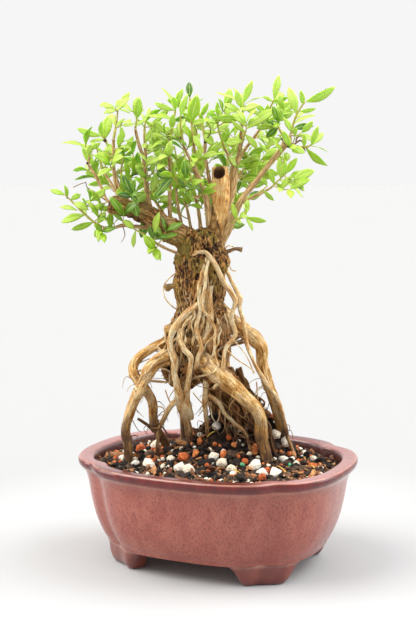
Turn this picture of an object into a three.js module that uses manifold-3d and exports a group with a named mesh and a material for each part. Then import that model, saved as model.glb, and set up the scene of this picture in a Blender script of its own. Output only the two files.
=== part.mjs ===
// A potted bonsai in a four-lobed oval pot: exposed roots twine down a short trunk into a mound of soil,
// and leafy stems rise from a cut stub and a thick limb. Millimetres, +Z up, on the table at z = 0.
// The tree is laid out as seen from the front: [across, up, behind], turned into the pot's own frame.
import * as THREE from 'three';
import Module from 'manifold-3d';
import { mergeVertices } from 'three/addons/utils/BufferGeometryUtils.js';

const wasm = await Module();
wasm.setup();

// Driving dimensions of the pot.
const POT = {
  halfLength: 100,
  halfWidth: 85.6,
  roundness: 2.44,
  notchAngle: THREE.MathUtils.degToRad(42.3),
  notchDepth: 4.6,
  notchReach: 10.1,
  footAngle: THREE.MathUtils.degToRad(39.2),
  underside: 15,
  floor: 21,
  drainRadius: 8,
  drainAcross: 36,
};
// How far in from the rim's outline the wall stands at each height: outside going up, then inside going down.
const OUTER_WALL = [
  [36, 15], [22.4, 15], [18.4, 20], [13.6, 30.5], [9.8, 44.5], [7, 60.5], [3.6, 69], [0.6, 71.6], [0, 75.6],
];
const INNER_WALL = [[1.2, 77], [10.6, 77], [12, 75.2], [13.4, 60], [18, 34], [30, 21]];
// A foot's face, its back and its half-length at each height.
const FOOT = [
  [22.2, 36, 23.5, 17.6], [22.6, 37, 21, 11], [23.8, 38, 17.5, 4], [25.2, 38, 15, 0.8],
  [26.4, 37.4, 13.8, 0],
];

const SOIL = {
  level: 69.5, gap: 0.4, rootGap: 0.4, padGap: 0.4, rings: [0.87, 0.72, 0.56, 0.4, 0.25, 0.12],
  grainSeed: 11, grains: 15, grainSize: 2.6, grainSpread: 1.8,
};
const MOUNDS = [
  { across: 2, behind: 16, height: 28, wide: 21, deep: 19 },
  { across: 29, behind: 22, height: 32, wide: 15, deep: 9 },
];
const MESH_PAD = { side: 25, thick: 1, holes: 3, hole: 4.8, pitch: 7, gap: 0.3 };

// The eye that the layout is seen from, in front of the pot and turned from its short side.
const EYE = { across: -7.1, up: 275.5, distance: 857.5, turn: THREE.MathUtils.degToRad(24.7) };

const LEAF = {
  halfThickness: 0.42, fold: 0.22, arch: 0.09, rows: [0.27, 0.56, 0.82], clear: 2.7, stemClear: 1.6, seed: 5,
};
const JOINT_GAP = 0.35;
const SHOOT_SIDES = 4;

const COLOUR = { glaze: 0x9a5a4e, soil: 0x3a2a22, bark: 0xa67c4a, leaf: 0x86b43c, pad: 0x2b2b2b };

// The trunk and the thick limbs: [across, up, behind, radius].
const TRUNK = [
  [-12, 240, 0, 11.5], [-12, 229, 0, 17], [-11.5, 217, 1, 18.2], [-12, 204, 2, 17.6], [-12.5, 192, 3, 16.2],
  [-13, 181, 3, 15.5], [-15, 170, 4, 17], [-18, 158, 5, 19], [-21, 147, 5, 18.5], [-26, 137, 5, 15],
  [-29, 128, 5, 9],
];
const TRUNK_FRONT = [
  [-4, 182, -2, 9], [-4, 168, -2, 11], [-3, 154, -3, 11], [-3, 141, -5, 9.5], [-1, 131, -5, 7],
];
const LIMB = [
  [-10, 226, 0, 10], [-20, 232, -1, 9.5], [-30, 237.5, -3, 8.4], [-40, 243, -5, 7.2], [-50, 249.5, -6, 6.9],
  [-60, 254, -8, 6.7], [-69, 256.5, -10, 6.5], [-76, 258.5, -12, 5.6],
];
const STUB = [
  [-6, 226, 0, 11], [-2, 238, -1, 7.6], [1, 250, -2, 6.3], [2, 262, -2, 6.2], [2, 273, -1, 6.5],
  [1.5, 284, 1, 5.8],
];
const STUB_HOLLOW = [[1, 293, -17, 6], [1, 281, -7, 5.2], [1.2, 273, -1, 3.8], [1.5, 262, 0, 1.6]];
const KNOBS = [
  [[-26, 199.5, 0, 2.2], [-33, 199.5, 0, 2], [-36.5, 198, 0, 2.9], [-38, 197, 0, 1.8]],
  [[-26, 169, 3, 5], [-33, 168.5, 2, 4.6], [-38.5, 167.5, 2, 3.6]],
  [[-2, 221, -3, 2.4], [6, 224, -5, 1.5], [13, 226.5, -6, 1.2], [17.5, 226, -6, 1.7]],
  [[-46, 94, 19, 1.8], [-51, 98, 17, 1.3], [-57.5, 102.5, 16, 1]],
];

// Roots, from where they leave the trunk to where they end in the soil: [across, up, behind, radius].
const ROOTS = [
  [[-24, 150, 2, 9], [-33, 148, -1, 7.5], [-41, 146, -4, 5.6], [-47.5, 141, -7, 4.5], [-52, 133, -8, 4.1],
    [-56, 125, -7, 4.3], [-60, 117, -5, 4.1], [-63.3, 109, -3, 3.9], [-66, 101, -1, 3.5],
    [-67.3, 94, 0, 3.6], [-65.8, 85, 0, 3.8], [-65, 76, 0, 3.4], [-64.5, 56, 0, 2.6]],
  [[-26, 159, 8, 6], [-36, 158.5, 9, 4.6], [-44, 156.5, 9, 3.7], [-52, 151.5, 9, 3.4], [-59, 145.5, 8, 3.4],
    [-61.5, 139.5, 6, 3.5], [-58.5, 132, 2, 3.6], [-53.5, 126, 2, 3.8], [-49, 119, 6, 3.6],
    [-46.8, 110, 11, 3.5], [-46.5, 100, 16, 3.5], [-43.5, 93, 20, 3.5], [-39, 86, 26, 3.4],
    [-34, 70, 32, 2.6]],
  [[-10, 190, -13, 2], [-17, 184.5, -16, 2.3], [-24, 178.5, -17, 2.3], [-30, 171, -17, 2.4],
    [-33.5, 163, -16, 2.3], [-34.3, 155, -15, 2.4], [-31.5, 146, -15, 2.5], [-31.2, 137, -13, 2.4],
    [-30, 128, -11, 2.5], [-28, 119, -8, 2.9], [-26, 111, -4, 3.3], [-23, 103, 0, 2.9],
    [-21, 94, 5, 2.8], [-20, 84, 9, 2.6], [-20, 66, 11, 2.2]],
  [[-27, 169, -15, 1.7], [-27.5, 161, -17, 1.7], [-24.5, 154, -17, 1.8], [-19.5, 148, -16, 1.9],
    [-20.3, 139, -14, 1.9], [-21.3, 130, -10, 2], [-22.5, 121, -6, 2.3], [-21.5, 112, -3, 2.5],
    [-19.5, 103, 1, 2.5]],
  [[-18, 221.5, -15, 1.1], [-14, 223.5, -18, 1.3], [-9, 223.5, -19, 1.4], [-5.5, 219.5, -19, 1.8],
    [-1, 213, -18, 1.8], [4, 203.5, -16, 1.8], [9, 195, -14, 1.8], [12.5, 189, -13, 1.9],
    [10.8, 182, -13, 1.5], [10.3, 175, -13, 1.5], [12.8, 165, -13, 1.6], [10, 160, -14, 1.5],
    [6, 155, -15, 1.5], [4.4, 147, -16, 1.5], [3.6, 138, -17, 1.5], [1, 130, -16, 1.4],
    [-3, 125.5, -13, 1.3]],
  [[-8, 220, -17, 1.3], [-11, 211, -18.5, 1.4], [-13, 200, -18.5, 1.5], [-13.3, 190, -17.5, 1.5],
    [-13, 180, -16.5, 1.5], [-15.3, 170, -16, 1.6], [-13.5, 162, -16, 1.6], [-12, 154, -16, 1.6],
    [-14.5, 147, -15.5, 1.4], [-16.5, 139, -13, 1.2]],
  [[-6, 219, -18, 1.1], [-8.5, 211, -20.5, 1.1], [-9.2, 202, -21, 1.1], [-10.5, 192, -20.5, 1.1],
    [-10.8, 183, -19, 1.1], [-6, 176.5, -17, 1.1], [-2, 169.5, -16, 1.1], [-2.5, 160, -16.5, 1],
    [-3, 151, -16, 0.9], [-6, 144, -14, 0.9]],
  [[-6, 200, -13, 2.4], [-6, 188, -13, 2.4], [-5.5, 177, -13, 2.4], [-7, 167, -13, 2.4],
    [-11, 158, -13.5, 2.2]],
  [[5, 214, -6, 1.6], [9, 204, -9, 1.3], [14, 194.5, -11, 1.5], [15.7, 190, -11, 2.1],
    [15.6, 184, -11, 1.3], [18, 175, -10, 1.4], [20, 167.5, -9, 1.5], [20.5, 160, -8, 1.6],
    [24, 149.5, -7, 1.5], [29.5, 138, -4, 1.5], [36, 127.5, 0, 1.6], [42.5, 118.5, 4, 1.6],
    [46.5, 109, 8, 1.6], [48.7, 99, 11, 1.6], [51, 89, 13, 1.4], [54.5, 79, 13, 1.4], [56, 60, 13, 1]],
  [[0, 180, 2, 8], [9, 174.5, 4, 6.6], [18, 168, 5, 5.6], [26, 162, 5, 5.3], [31.3, 155, 5, 4.8],
    [32, 147, 6, 4.3], [33, 139, 7, 4.1], [36, 130, 8, 4.1], [39, 121, 10, 4.1], [42.5, 111, 13, 4.1],
    [45, 101, 16, 3.9], [47, 91, 19, 3.7], [50, 80, 21, 3.4], [52, 60, 22, 2.6]],
  [[-9, 147, -7, 9], [-2, 139.5, -11, 8], [6, 131, -13, 6.6], [14, 123, -13, 5.6], [22, 115.5, -12, 4.9],
    [28.5, 109, -11, 4.8], [31.5, 101, -10, 4.5], [31.6, 93, -9, 4.6], [33, 84, -8, 4.6],
    [35.5, 75, -8, 4.3], [37.5, 56, -8, 3]],
  [[-8, 132, -6, 2.6], [-9, 121, -4, 2], [-9.4, 111, -1, 1.9], [-8.4, 102, 2, 1.8], [-7, 84, 6, 1.6]],
  [[-7, 121, -5, 1.6], [1, 114, -5, 1.5], [5, 107, -5, 1.5], [12, 99.5, -5, 1.5], [19, 94, -6, 1.4],
    [24, 80, -6, 1.2]],
  [[-27.5, 118, -7, 2], [-33, 113, -6, 1.9], [-37, 107, -3, 1.7], [-41, 99, 3, 1.7], [-43, 92, 8, 1.6],
    [-45, 72, 12, 1.3]],
  [[-10, 152, 12, 9], [-8, 138, 20, 6.4], [-4, 124, 27, 5.2], [-2, 110, 32, 4.6], [0, 96, 36, 4.2],
    [2, 72, 38, 3]],
  [[-2, 162, 10, 8], [2, 148, 18, 6], [6, 133, 27, 5], [10, 120, 34, 4.5], [15, 107, 40, 4],
    [18, 92, 44, 3.6], [20, 66, 46, 2.6]],
  [[-22, 152, 14, 8], [-25, 140, 22, 5.4], [-26, 127, 28, 4.4], [-25, 113, 32, 3.9], [-24, 99, 36, 3.6],
    [-26, 72, 39, 2.6]],
];
const SMOOTH_STEPS = 0.9;

// Woody branches that carry other shoots: [across, up, behind, radius].
const BRANCHES = [
  [[2, 230, -2, 3.4], [8, 242, -6, 2.7], [13, 253, -8, 2.3], [18, 263, -10, 2.1], [27, 274, -11, 1.9],
    [37, 287, -12, 1.8], [46, 298, -13, 2.2], [49, 302.5, -13, 3.4], [50.5, 305.5, -12, 1.9]],
  [[-5, 240, -2, 3.2], [-8, 260, -4, 2.2], [-12, 272, -6, 2.1], [-17, 284, -8, 1.9]],
  [[1, 240, 5, 4.6], [6, 255, 6, 3.6], [10, 270, 8, 3.4], [11.5, 284, 9, 3]],
];

// Leafy stems. path: control points; bare: how many lead points are woody; thick: radii at the wood's ends;
// seen: leaves laid as [foot across, foot up, tip across, tip up, width seen]; pairs: further opposite pairs.
const STEMS = [
  { path: [[-42, 241, -5], [-52, 241.5, -8], [-61, 242.5, -9], [-68, 243, -10], [-75, 241.2, -10],
      [-82, 241.5, -10], [-88, 245, -10], [-94, 250, -10], [-100, 256, -10], [-105, 261, -10],
      [-109, 265, -10]],
    bare: 6, thick: [2, 1.1],
    seen: [[-109, 264, -119.5, 268, 4], [-108, 262, -109.5, 272, 2.6], [-104, 262, -97.5, 265, 4.6],
      [-102, 260, -92, 254, 5.8], [-100, 253.5, -113, 256, 3.8], [-95, 250, -112, 245, 6.2],
      [-98, 257, -84, 262, 3], [-89, 245, -105, 240, 4], [-84, 242, -88, 234.5, 4],
      [-84, 241.5, -85.5, 231, 5], [-86, 244, -80, 253, 5.5]],
    pairs: 1 },
  { path: [[-70, 257, -5], [-79, 261, -2], [-83, 270, 0], [-88, 280, 2], [-92, 286.5, 3], [-91.2, 291, 3],
      [-92.5, 296, 3], [-94, 300, 3]],
    bare: 6, thick: [1.4, 0.95],
    seen: [[-94, 299, -94.5, 305, 3], [-93, 298, -112, 301, 4.2], [-91.5, 293, -90, 300.5, 5],
      [-92, 295, -83, 301.5, 4]],
    pairs: 2 },
  { path: [[-68, 257, -6], [-76, 273, 4], [-80, 279, 8], [-82, 283, 9], [-84, 290, 10], [-86, 298, 10]],
    bare: 4, thick: [1.3, 1],
    seen: [[-82.5, 284, -83, 289.5, 4.4], [-82, 284, -76.5, 282.5, 3], [-84, 290, -93, 281.5, 2.6],
      [-86, 296, -90, 303, 3]],
    pairs: 2 },
  { path: [[-66, 256, -8], [-72.5, 270, -9], [-74, 285, -10], [-74, 297, -10], [-74, 304, -10],
      [-72.6, 311, -10], [-71.5, 318, -10], [-70.5, 326, -10]],
    bare: 5, thick: [1.6, 1.2],
    seen: [[-70, 326, -62, 337, 4.2], [-71, 324, -81, 327, 3], [-70.5, 325, -62, 322, 2.4],
      [-72, 312, -65.5, 318.5, 2.8], [-73, 309, -72.8, 321, 4], [-72, 313, -76, 322, 5]],
    pairs: 1 },
  { path: [[-66, 259, -4], [-72, 276, 0], [-75.5, 290, 2], [-78, 299, 3], [-80, 304, 3], [-82, 306.5, 3]],
    bare: 4, thick: [1.4, 1.1],
    seen: [[-79.5, 304, -77, 321, 7.5], [-82, 306, -100, 311.5, 3.8], [-81, 305, -92, 307.5, 3],
      [-80, 303, -91, 302, 3.2], [-79, 301, -71, 290, 5.6]],
    pairs: 2 },
  { path: [[-62, 255, -6], [-68, 271, 2], [-69, 279, 6], [-68, 287, 7], [-67, 294, 8]],
    bare: 3, thick: [1.3, 1],
    seen: [[-68, 282, -58, 288.5, 3.2], [-68, 280, -62.5, 282, 3], [-68, 286, -82, 296, 6.5],
      [-67, 292, -58.5, 297, 2], [-67, 294, -60, 306.5, 3.8]],
    pairs: 1 },
  { path: [[-47, 250, -5], [-50.5, 266, -4], [-51.5, 282, -4], [-53, 291, -4], [-56, 300, -5],
      [-58.6, 311, -6], [-57.5, 317, -6], [-57, 321, -6]],
    bare: 6, thick: [2.4, 1.1],
    seen: [[-57, 318, -55.5, 333.5, 7], [-57.5, 319, -63, 327, 4], [-58, 315, -66, 312.5, 2.4],
      [-58, 313, -50, 318, 3]],
    pairs: 1 },
  { path: [[-51.5, 282, -4], [-51.5, 296, -1], [-52, 306, 2], [-52, 312, 3], [-51, 318, 4]],
    bare: 3, thick: [1.5, 1.2],
    seen: [[-52, 312, -44, 321, 3.2], [-52, 308, -59, 302, 2.6], [-51.5, 307, -43, 303, 3],
      [-51, 316, -48, 326, 3]],
    pairs: 1 },
  { path: [[-56, 252, -8], [-59, 257, -14], [-61, 262, -19], [-61, 268, -22]],
    bare: 2, thick: [1.4, 1.2],
    seen: [[-61, 262, -63, 277, 7], [-60, 260, -51, 266, 8], [-60, 259, -57.5, 249, 6.4],
      [-61, 263, -72, 265, 4.6], [-61, 265, -68, 273, 5]],
    pairs: 0 },
  { path: [[-33, 240, -3], [-34.5, 256, -4], [-34, 275, -6], [-34.5, 292, -8], [-34.3, 303, -9],
      [-32.5, 313, -10], [-30.5, 322, -10], [-30, 328, -10]],
    bare: 5, thick: [1.9, 1.2],
    seen: [[-30.5, 326, -40, 340, 3.4], [-31, 324, -45, 329.5, 3.6], [-30, 328, -24.5, 339.5, 4.6],
      [-32, 318, -50, 320, 4.8], [-33, 311, -31.5, 322, 5], [-34, 305, -41, 313, 3.4],
      [-34, 304, -49, 296, 3.4]],
    pairs: 1 },
  { path: [[-24, 236, 2], [-28, 254, 4], [-29.5, 266, 6], [-30, 276, 8], [-32, 286, 8], [-35, 294, 8]],
    bare: 4, thick: [1.4, 1.1],
    seen: [[-33, 290, -50, 286, 6.2], [-30.5, 280, -42, 277, 5.5], [-34, 293, -46, 293.5, 5],
      [-34, 294, -37, 305, 4]],
    pairs: 2 },
  { path: [[-18, 234, 6], [-21, 250, 12], [-24, 264, 17], [-27, 276, 21], [-29, 288, 24], [-31, 299, 26]],
    bare: 3, thick: [1.5, 1.1],
    seen: [],
    pairs: 4 },
  { path: [[-17, 284, -8], [-20.5, 291, -9], [-24.5, 299, -10], [-25.5, 306, -13], [-26.5, 314, -15],
      [-26.5, 321, -16]],
    bare: 3, thick: [1.2, 1.1],
    seen: [[-26.5, 320, -21, 336, 5], [-26, 315, -47, 315.5, 4.8], [-26, 312, -16, 305, 5],
      [-25, 303, -32, 312, 5]],
    pairs: 1 },
  { path: [[-17, 284, -8], [-16.5, 293, -13], [-17.5, 303, -19], [-18.5, 313, -21], [-19.5, 323, -22],
      [-20, 333, -22]],
    bare: 3, thick: [1.2, 1.1],
    seen: [[-20, 333, -20.5, 344, 5], [-18.5, 316, -14.5, 335.5, 9], [-18.5, 314, -9, 317, 4.4],
      [-19.5, 326, -27, 333, 3], [-17.8, 307, -12.5, 297, 4.6]],
    pairs: 0 },
  { path: [[-4, 262, 2], [-7, 280, 6], [-9.3, 293, 7], [-9, 303, 8], [-11, 312, 9], [-13.5, 321, 10]],
    bare: 4, thick: [1.7, 1.3],
    seen: [[-12.5, 319, -6.5, 330, 3.6], [-10, 308, -3, 299, 6], [-10, 310, -1, 308, 3.4],
      [-13, 320, -21, 327, 3.6]],
    pairs: 2 },
  { path: [[-10, 266, -5], [-16, 263, -10], [-22, 268, -15], [-29, 274, -19], [-34, 279, -21]],
    bare: 3, thick: [1.2, 0.9],
    seen: [[-23, 268, -29, 277, 3.6], [-23, 268.5, -17, 259, 4], [-31, 276, -44, 281, 8],
      [-32, 277, -45.5, 262, 6.4], [-29, 274, -22, 285, 5]],
    pairs: 1 },
  { path: [[11.5, 283, 9], [8.5, 290, 10], [5, 297, 12], [2, 305, 12], [0, 313, 12], [-0.5, 321, 12]],
    bare: 3, thick: [1.5, 1.2],
    seen: [[-0.5, 320, -0.5, 330.5, 3.4], [4, 300, -8, 295, 7], [3, 302, 8, 312, 6],
      [1, 308, -7, 318, 6], [0, 314, 8, 321, 5]],
    pairs: 1 },
  { path: [[11.5, 282, 9], [15, 295, 6], [16.5, 308, 2], [17, 317, -1], [17.5, 324, -3], [17.8, 330, -4]],
    bare: 4, thick: [2, 1.3],
    seen: [[17.8, 329, 24.5, 345.5, 5.4], [17.5, 329, 9, 340.5, 2.4], [17.5, 327, -2, 336.5, 4.2],
      [17.2, 321, 4, 329, 5], [17.6, 327, 29, 321, 5.2], [17, 319, -4, 319.5, 4.4]],
    pairs: 1 },
  { path: [[12, 284, 9], [20, 298, 12], [27, 307, 13], [32, 315, 12], [36, 324, 10], [39.5, 332, 9]],
    bare: 4, thick: [1.5, 1.1],
    seen: [[39.5, 332, 43, 349, 5.6], [39, 331, 46, 336, 8], [38.5, 330, 31, 334, 3],
      [33, 318, 35.5, 329, 4], [39, 330, 50, 333.5, 2.4], [35, 321, 25, 329, 4]],
    pairs: 1 },
  { path: [[15.2, 296, 6], [17, 301, -4], [18.5, 306, -12], [20, 311, -16]],
    bare: 2, thick: [1.2, 1],
    seen: [[20, 311, 41, 325, 7.6], [19.5, 309, 9.5, 317, 3], [18.1, 304.8, 11, 297, 3],
      [19, 307.4, 28, 297, 5], [17.5, 303, 5, 301, 7]],
    pairs: 0 },
  { path: [[49.5, 303, -13], [51.5, 307, -13], [53, 314, -13], [55.5, 321, -13], [59, 327, -13],
      [61.5, 330, -13]],
    bare: 2, thick: [1.2, 1.2],
    seen: [[55.5, 321, 49.5, 340.5, 7], [60, 328, 58, 338.5, 4], [61.5, 330, 83, 341, 4.8],
      [57, 323.5, 69.5, 325.5, 2.2], [53.5, 314, 69.5, 320.5, 4], [52.5, 311, 68, 313, 5],
      [52.5, 309, 46, 319, 4.6]],
    pairs: 0 },
  { path: [[49.5, 302, -13], [54, 298.5, -16], [58.5, 298, -18], [63, 298.5, -19], [66.5, 300, -19]],
    bare: 3, thick: [1.4, 1.39],
    seen: [[66, 300, 71, 313.5, 4.4], [65.5, 299.5, 75, 308.5, 5.2], [65, 299, 78.5, 294.5, 2.2],
      [62, 298, 78, 285, 3], [60, 298, 55, 289, 3], [61, 298, 61, 308, 3.4]],
    pairs: 0 },
  { path: [[16, 259, -9], [24, 262.5, -14], [33, 267, -18], [38, 270, -20], [43, 275, -21],
      [48.5, 280, -21]],
    bare: 4, thick: [1.2, 0.9],
    seen: [[44.5, 276.5, 43.5, 291.5, 5.4], [46.5, 278, 48, 289.5, 4], [48.5, 280, 56.5, 291, 5],
      [43, 275, 57, 271, 3.6], [43.5, 275.5, 61, 262.5, 4.2], [41, 273, 47, 268, 3.4],
      [40, 272, 36, 283, 4]],
    pairs: 0 },
  { path: [[23, 262, -13.4], [28, 265.5, -19], [31.5, 268, -23], [35, 271, -26]],
    bare: 2, thick: [0.9, 0.8],
    seen: [[32, 268.4, 40, 260.5, 2.8], [31, 267.7, 24.5, 270.5, 3], [35, 271, 30.5, 277, 3.6]],
    pairs: 0 },
  { path: [[6, 238, -5], [9.5, 244, -11], [14, 247.5, -16], [20, 249, -19]],
    bare: 2, thick: [1.2, 0.9],
    seen: [[20, 249, 35, 246, 3.2], [19.5, 249, 25, 239, 3.2], [15, 248, 21, 253, 4],
      [13, 247, 10, 259, 4.4]],
    pairs: 0 },
  { path: [[11, 272, 9], [17, 281, 15], [23, 286, 20], [29, 288, 24], [34, 293, 27]],
    bare: 3, thick: [1.2, 1],
    seen: [[26, 287, 25.5, 277, 4.8], [30, 289, 33, 280, 4.6], [33, 292, 42, 297, 5],
      [29, 288.5, 27, 297, 5]],
    pairs: 2 },
  { path: [[49, 302, -12], [45.5, 307, -7], [43, 312, -3], [42, 317, 0]],
    bare: 2, thick: [1.2, 1],
    seen: [[42, 316, 53, 322, 4], [43, 312, 34, 305, 5.4], [42.5, 314, 36, 316, 4.4]],
    pairs: 1 },
  { path: [[-26, 222, -8], [-36, 226, -14], [-43, 229.5, -15], [-50, 234.5, -15], [-57, 239, -16],
      [-60, 240.5, -16]],
    bare: 3, thick: [1.3, 1.1],
    seen: [[-44, 230, -50, 222.5, 4.6], [-47, 232, -44, 243, 6.6], [-59, 240, -65.5, 239, 3.6],
      [-58.5, 239.5, -60.5, 227, 3.6], [-60, 240.5, -68, 247, 5]],
    pairs: 0 },
  { path: [[-12, 238, 10], [-14, 254, 22], [-18, 272, 32], [-23, 290, 40], [-26, 306, 44]],
    bare: 3, thick: [1.9, 1.2], seen: [], pairs: 4 },
  { path: [[-2, 240, 8], [2, 256, 20], [5, 275, 31], [7, 293, 38], [8, 309, 42]],
    bare: 3, thick: [1.9, 1.2], seen: [], pairs: 4 },
  { path: [[4, 242, 6], [13, 256, 18], [24, 273, 29], [33, 290, 36], [39, 306, 40]],
    bare: 3, thick: [1.7, 1.2], seen: [], pairs: 4 },
  { path: [[-28, 238, 2], [-38, 250, 16], [-48, 266, 28], [-56, 281, 35], [-61, 295, 39]],
    bare: 3, thick: [1.7, 1.2], seen: [], pairs: 4 },
  { path: [[-50, 250, 0], [-60, 258, 11], [-72, 268, 20], [-84, 276, 25], [-94, 283, 27]],
    bare: 3, thick: [1.5, 1], seen: [], pairs: 3 },
];

// A seeded draw between 0 and 1.
function seededDraw(seed) {
  let state = seed * 7919 + 1;
  return () => {
    state = (state * 48271) % 2147483647;
    return state / 2147483647;
  };
}

// A point of the layout in the pot's frame. The sight line through a point stays the same at any depth.
function place([across, up, behind = 0]) {
  const reach = 1 + behind / EYE.distance;
  const u = EYE.across + (across - EYE.across) * reach;
  const z = EYE.up + (up - EYE.up) * reach;
  const x = u * Math.cos(EYE.turn) - behind * Math.sin(EYE.turn);
  const y = u * Math.sin(EYE.turn) + behind * Math.cos(EYE.turn);
  return new THREE.Vector3(x, y, z);
}

// A direction of the layout in the pot's frame.
function turned(across, up, behind) {
  return new THREE.Vector3(across, behind, up).applyAxisAngle(new THREE.Vector3(0, 0, 1), EYE.turn);
}

function toSolid(geometry) {
  const bare = new THREE.BufferGeometry().setAttribute('position', geometry.getAttribute('position'));
  bare.setIndex(geometry.index);
  const merged = mergeVertices(bare, 1e-5);
  return new wasm.Manifold(new wasm.Mesh({
    numProp: 3,
    vertProperties: new Float32Array(merged.attributes.position.array),
    triVerts: new Uint32Array(merged.index.array),
  }));
}

function toGeometry(solid) {
  const mesh = solid.getMesh();
  const geometry = new THREE.BufferGeometry();
  geometry.setAttribute('position', new THREE.BufferAttribute(new Float32Array(mesh.vertProperties), 3));
  geometry.setIndex(new THREE.BufferAttribute(new Uint32Array(mesh.triVerts), 1));
  geometry.computeVertexNormals();
  return geometry;
}

function closedGeometry(points, faces) {
  const geometry = new THREE.BufferGeometry().setFromPoints(points);
  geometry.setIndex(faces.flat());
  return geometry;
}

// Rings of equal length joined by bands of triangles, with a flat fan at each end.
function loft(rings) {
  const count = rings[0].length;
  const faces = [];
  for (let ring = 0; ring < rings.length - 1; ring += 1) {
    for (let side = 0; side < count; side += 1) {
      const next = (side + 1) % count;
      const low = ring * count;
      const high = low + count;
      faces.push([low + side, low + next, high + next], [low + side, high + next, high + side]);
    }
  }
  const top = (rings.length - 1) * count;
  for (let side = 1; side < count - 1; side += 1) {
    faces.push([0, side + 1, side], [top, top + side, top + side + 1]);
  }
  return closedGeometry(rings.flat(), faces);
}

// Stations {at, radius} along a smooth curve through the control points, about evenly spaced.
function smoothStations(controls, steps) {
  const curve = new THREE.CatmullRomCurve3(controls.map(place));
  const last = controls.length - 1;
  return Array.from({ length: steps + 1 }, (_, step) => {
    const along = curve.getUtoTmapping(step / steps) * last;
    const before = Math.min(Math.floor(along), last - 1);
    const radius = THREE.MathUtils.lerp(controls[before][3], controls[before + 1][3], along - before);
    return { at: curve.getPointAt(step / steps), radius };
  });
}

// A round tube through the stations. Its section is carried without twisting and may be ridged like bark.
function tube(stations, sides, ridge = 0) {
  const last = stations.length - 1;
  const heading = stations.map((station, index) => {
    const before = stations[Math.max(index - 1, 0)].at;
    const after = stations[Math.min(index + 1, last)].at;
    return after.clone().sub(before).normalize();
  });
  let side = new THREE.Vector3(1, 0, 0);
  if (Math.abs(heading[0].x) > 0.9) side = new THREE.Vector3(0, 1, 0);
  const rings = stations.map(({ at, radius }, index) => {
    side = side.clone().addScaledVector(heading[index], -side.dot(heading[index])).normalize();
    const other = heading[index].clone().cross(side);
    return Array.from({ length: sides }, (_, corner) => {
      const angle = (2 * Math.PI * corner) / sides;
      const swell = 1 + ridge * (Math.sin(3 * angle + 0.9 * index) + 0.8 * Math.sin(5 * angle - 1.4 * index));
      return at.clone()
        .addScaledVector(side, radius * swell * Math.cos(angle))
        .addScaledVector(other, radius * swell * Math.sin(angle));
    });
  });
  return loft(rings);
}

function smoothTube(controls, sides, ridge = 0, extra = 0) {
  const steps = Math.round((controls.length - 1) * SMOOTH_STEPS);
  const stations = smoothStations(controls, steps);
  stations.forEach((station) => {
    station.radius += extra;
  });
  return toSolid(tube(stations, sides, ridge));
}

// The pot's outline seen from above: an oval between an ellipse and a box, nicked at four places.
function rimRadius(angle) {
  const c = Math.abs(Math.cos(angle)) / POT.halfLength;
  const s = Math.abs(Math.sin(angle)) / POT.halfWidth;
  const radius = (c ** POT.roundness + s ** POT.roundness) ** (-1 / POT.roundness);
  const fromAxis = Math.atan2(Math.abs(Math.sin(angle)), Math.abs(Math.cos(angle)));
  const distance = radius * Math.abs(fromAxis - POT.notchAngle);
  return radius - POT.notchDepth * Math.exp(-((distance / POT.notchReach) ** 1.5));
}

// Angles round the pot, closer together at the nicks.
function rimAngles(perHalf = 5) {
  const toNotch = [];
  for (let step = 0; step < perHalf; step += 1) {
    toNotch.push(POT.notchAngle * (1 - (1 - step / perHalf) ** 1.6));
  }
  const pastNotch = [];
  for (let step = 0; step < perHalf; step += 1) {
    pastNotch.push(POT.notchAngle + (Math.PI / 2 - POT.notchAngle) * (step / perHalf) ** 1.6);
  }
  const quarter = [...toNotch, ...pastNotch];
  const mirrored = [Math.PI / 2, ...quarter.slice(1).reverse()].map((angle) => Math.PI - angle);
  const half = [...quarter, ...mirrored];
  return [...half, ...half.map((angle) => angle + Math.PI)];
}

function rimPoint(angle, inset, z) {
  const radius = rimRadius(angle) - inset;
  return new THREE.Vector3(radius * Math.cos(angle), radius * Math.sin(angle), z);
}

function rimRing(inset, z) {
  return rimAngles().map((angle) => rimPoint(angle, inset, z));
}

function foot(angle) {
  const along = 6;
  const rings = [...FOOT].reverse().map(([face, back, halfLength, z]) => {
    const middle = rimRadius(angle) - face;
    const spread = halfLength / middle;
    const steps = Array.from({ length: along + 1 }, (_, step) => angle + spread * ((2 * step) / along - 1));
    const front = steps.map((turn) => rimPoint(turn, face, z));
    const rear = steps.map((turn) => rimPoint(turn, back, z)).reverse();
    return [...front, ...rear];
  });
  return toSolid(loft(rings));
}

function makePot() {
  const rings = [...OUTER_WALL, ...INNER_WALL].map(([inset, z]) => rimRing(inset, z));
  let pot = toSolid(loft(rings));
  for (const angle of [POT.footAngle, Math.PI - POT.footAngle, Math.PI + POT.footAngle, -POT.footAngle]) {
    pot = pot.add(foot(angle));
  }
  for (const side of [-1, 1]) {
    const hole = new THREE.CylinderGeometry(POT.drainRadius, POT.drainRadius, 20, 16);
    hole.rotateX(Math.PI / 2).translate(side * POT.drainAcross, 0, (POT.floor + POT.underside) / 2);
    pot = pot.subtract(toSolid(hole));
  }
  return pot;
}

// A flat square of plastic mesh over a drain hole.
function makeMeshPad(side) {
  const middle = [side * POT.drainAcross, 0, POT.floor + MESH_PAD.gap + MESH_PAD.thick / 2];
  const { side: width, thick, hole } = MESH_PAD;
  let pad = toSolid(new THREE.BoxGeometry(width, width, thick).translate(...middle));
  const opening = new THREE.BoxGeometry(hole, hole, 3 * thick).translate(...middle);
  const halfCount = (MESH_PAD.holes - 1) / 2;
  for (let cell = 0; cell < MESH_PAD.holes ** 2; cell += 1) {
    const column = (cell % MESH_PAD.holes) - halfCount;
    const row = Math.floor(cell / MESH_PAD.holes) - halfCount;
    pad = pad.subtract(toSolid(opening.clone().translate(column * MESH_PAD.pitch, row * MESH_PAD.pitch, 0)));
  }
  return pad;
}

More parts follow.
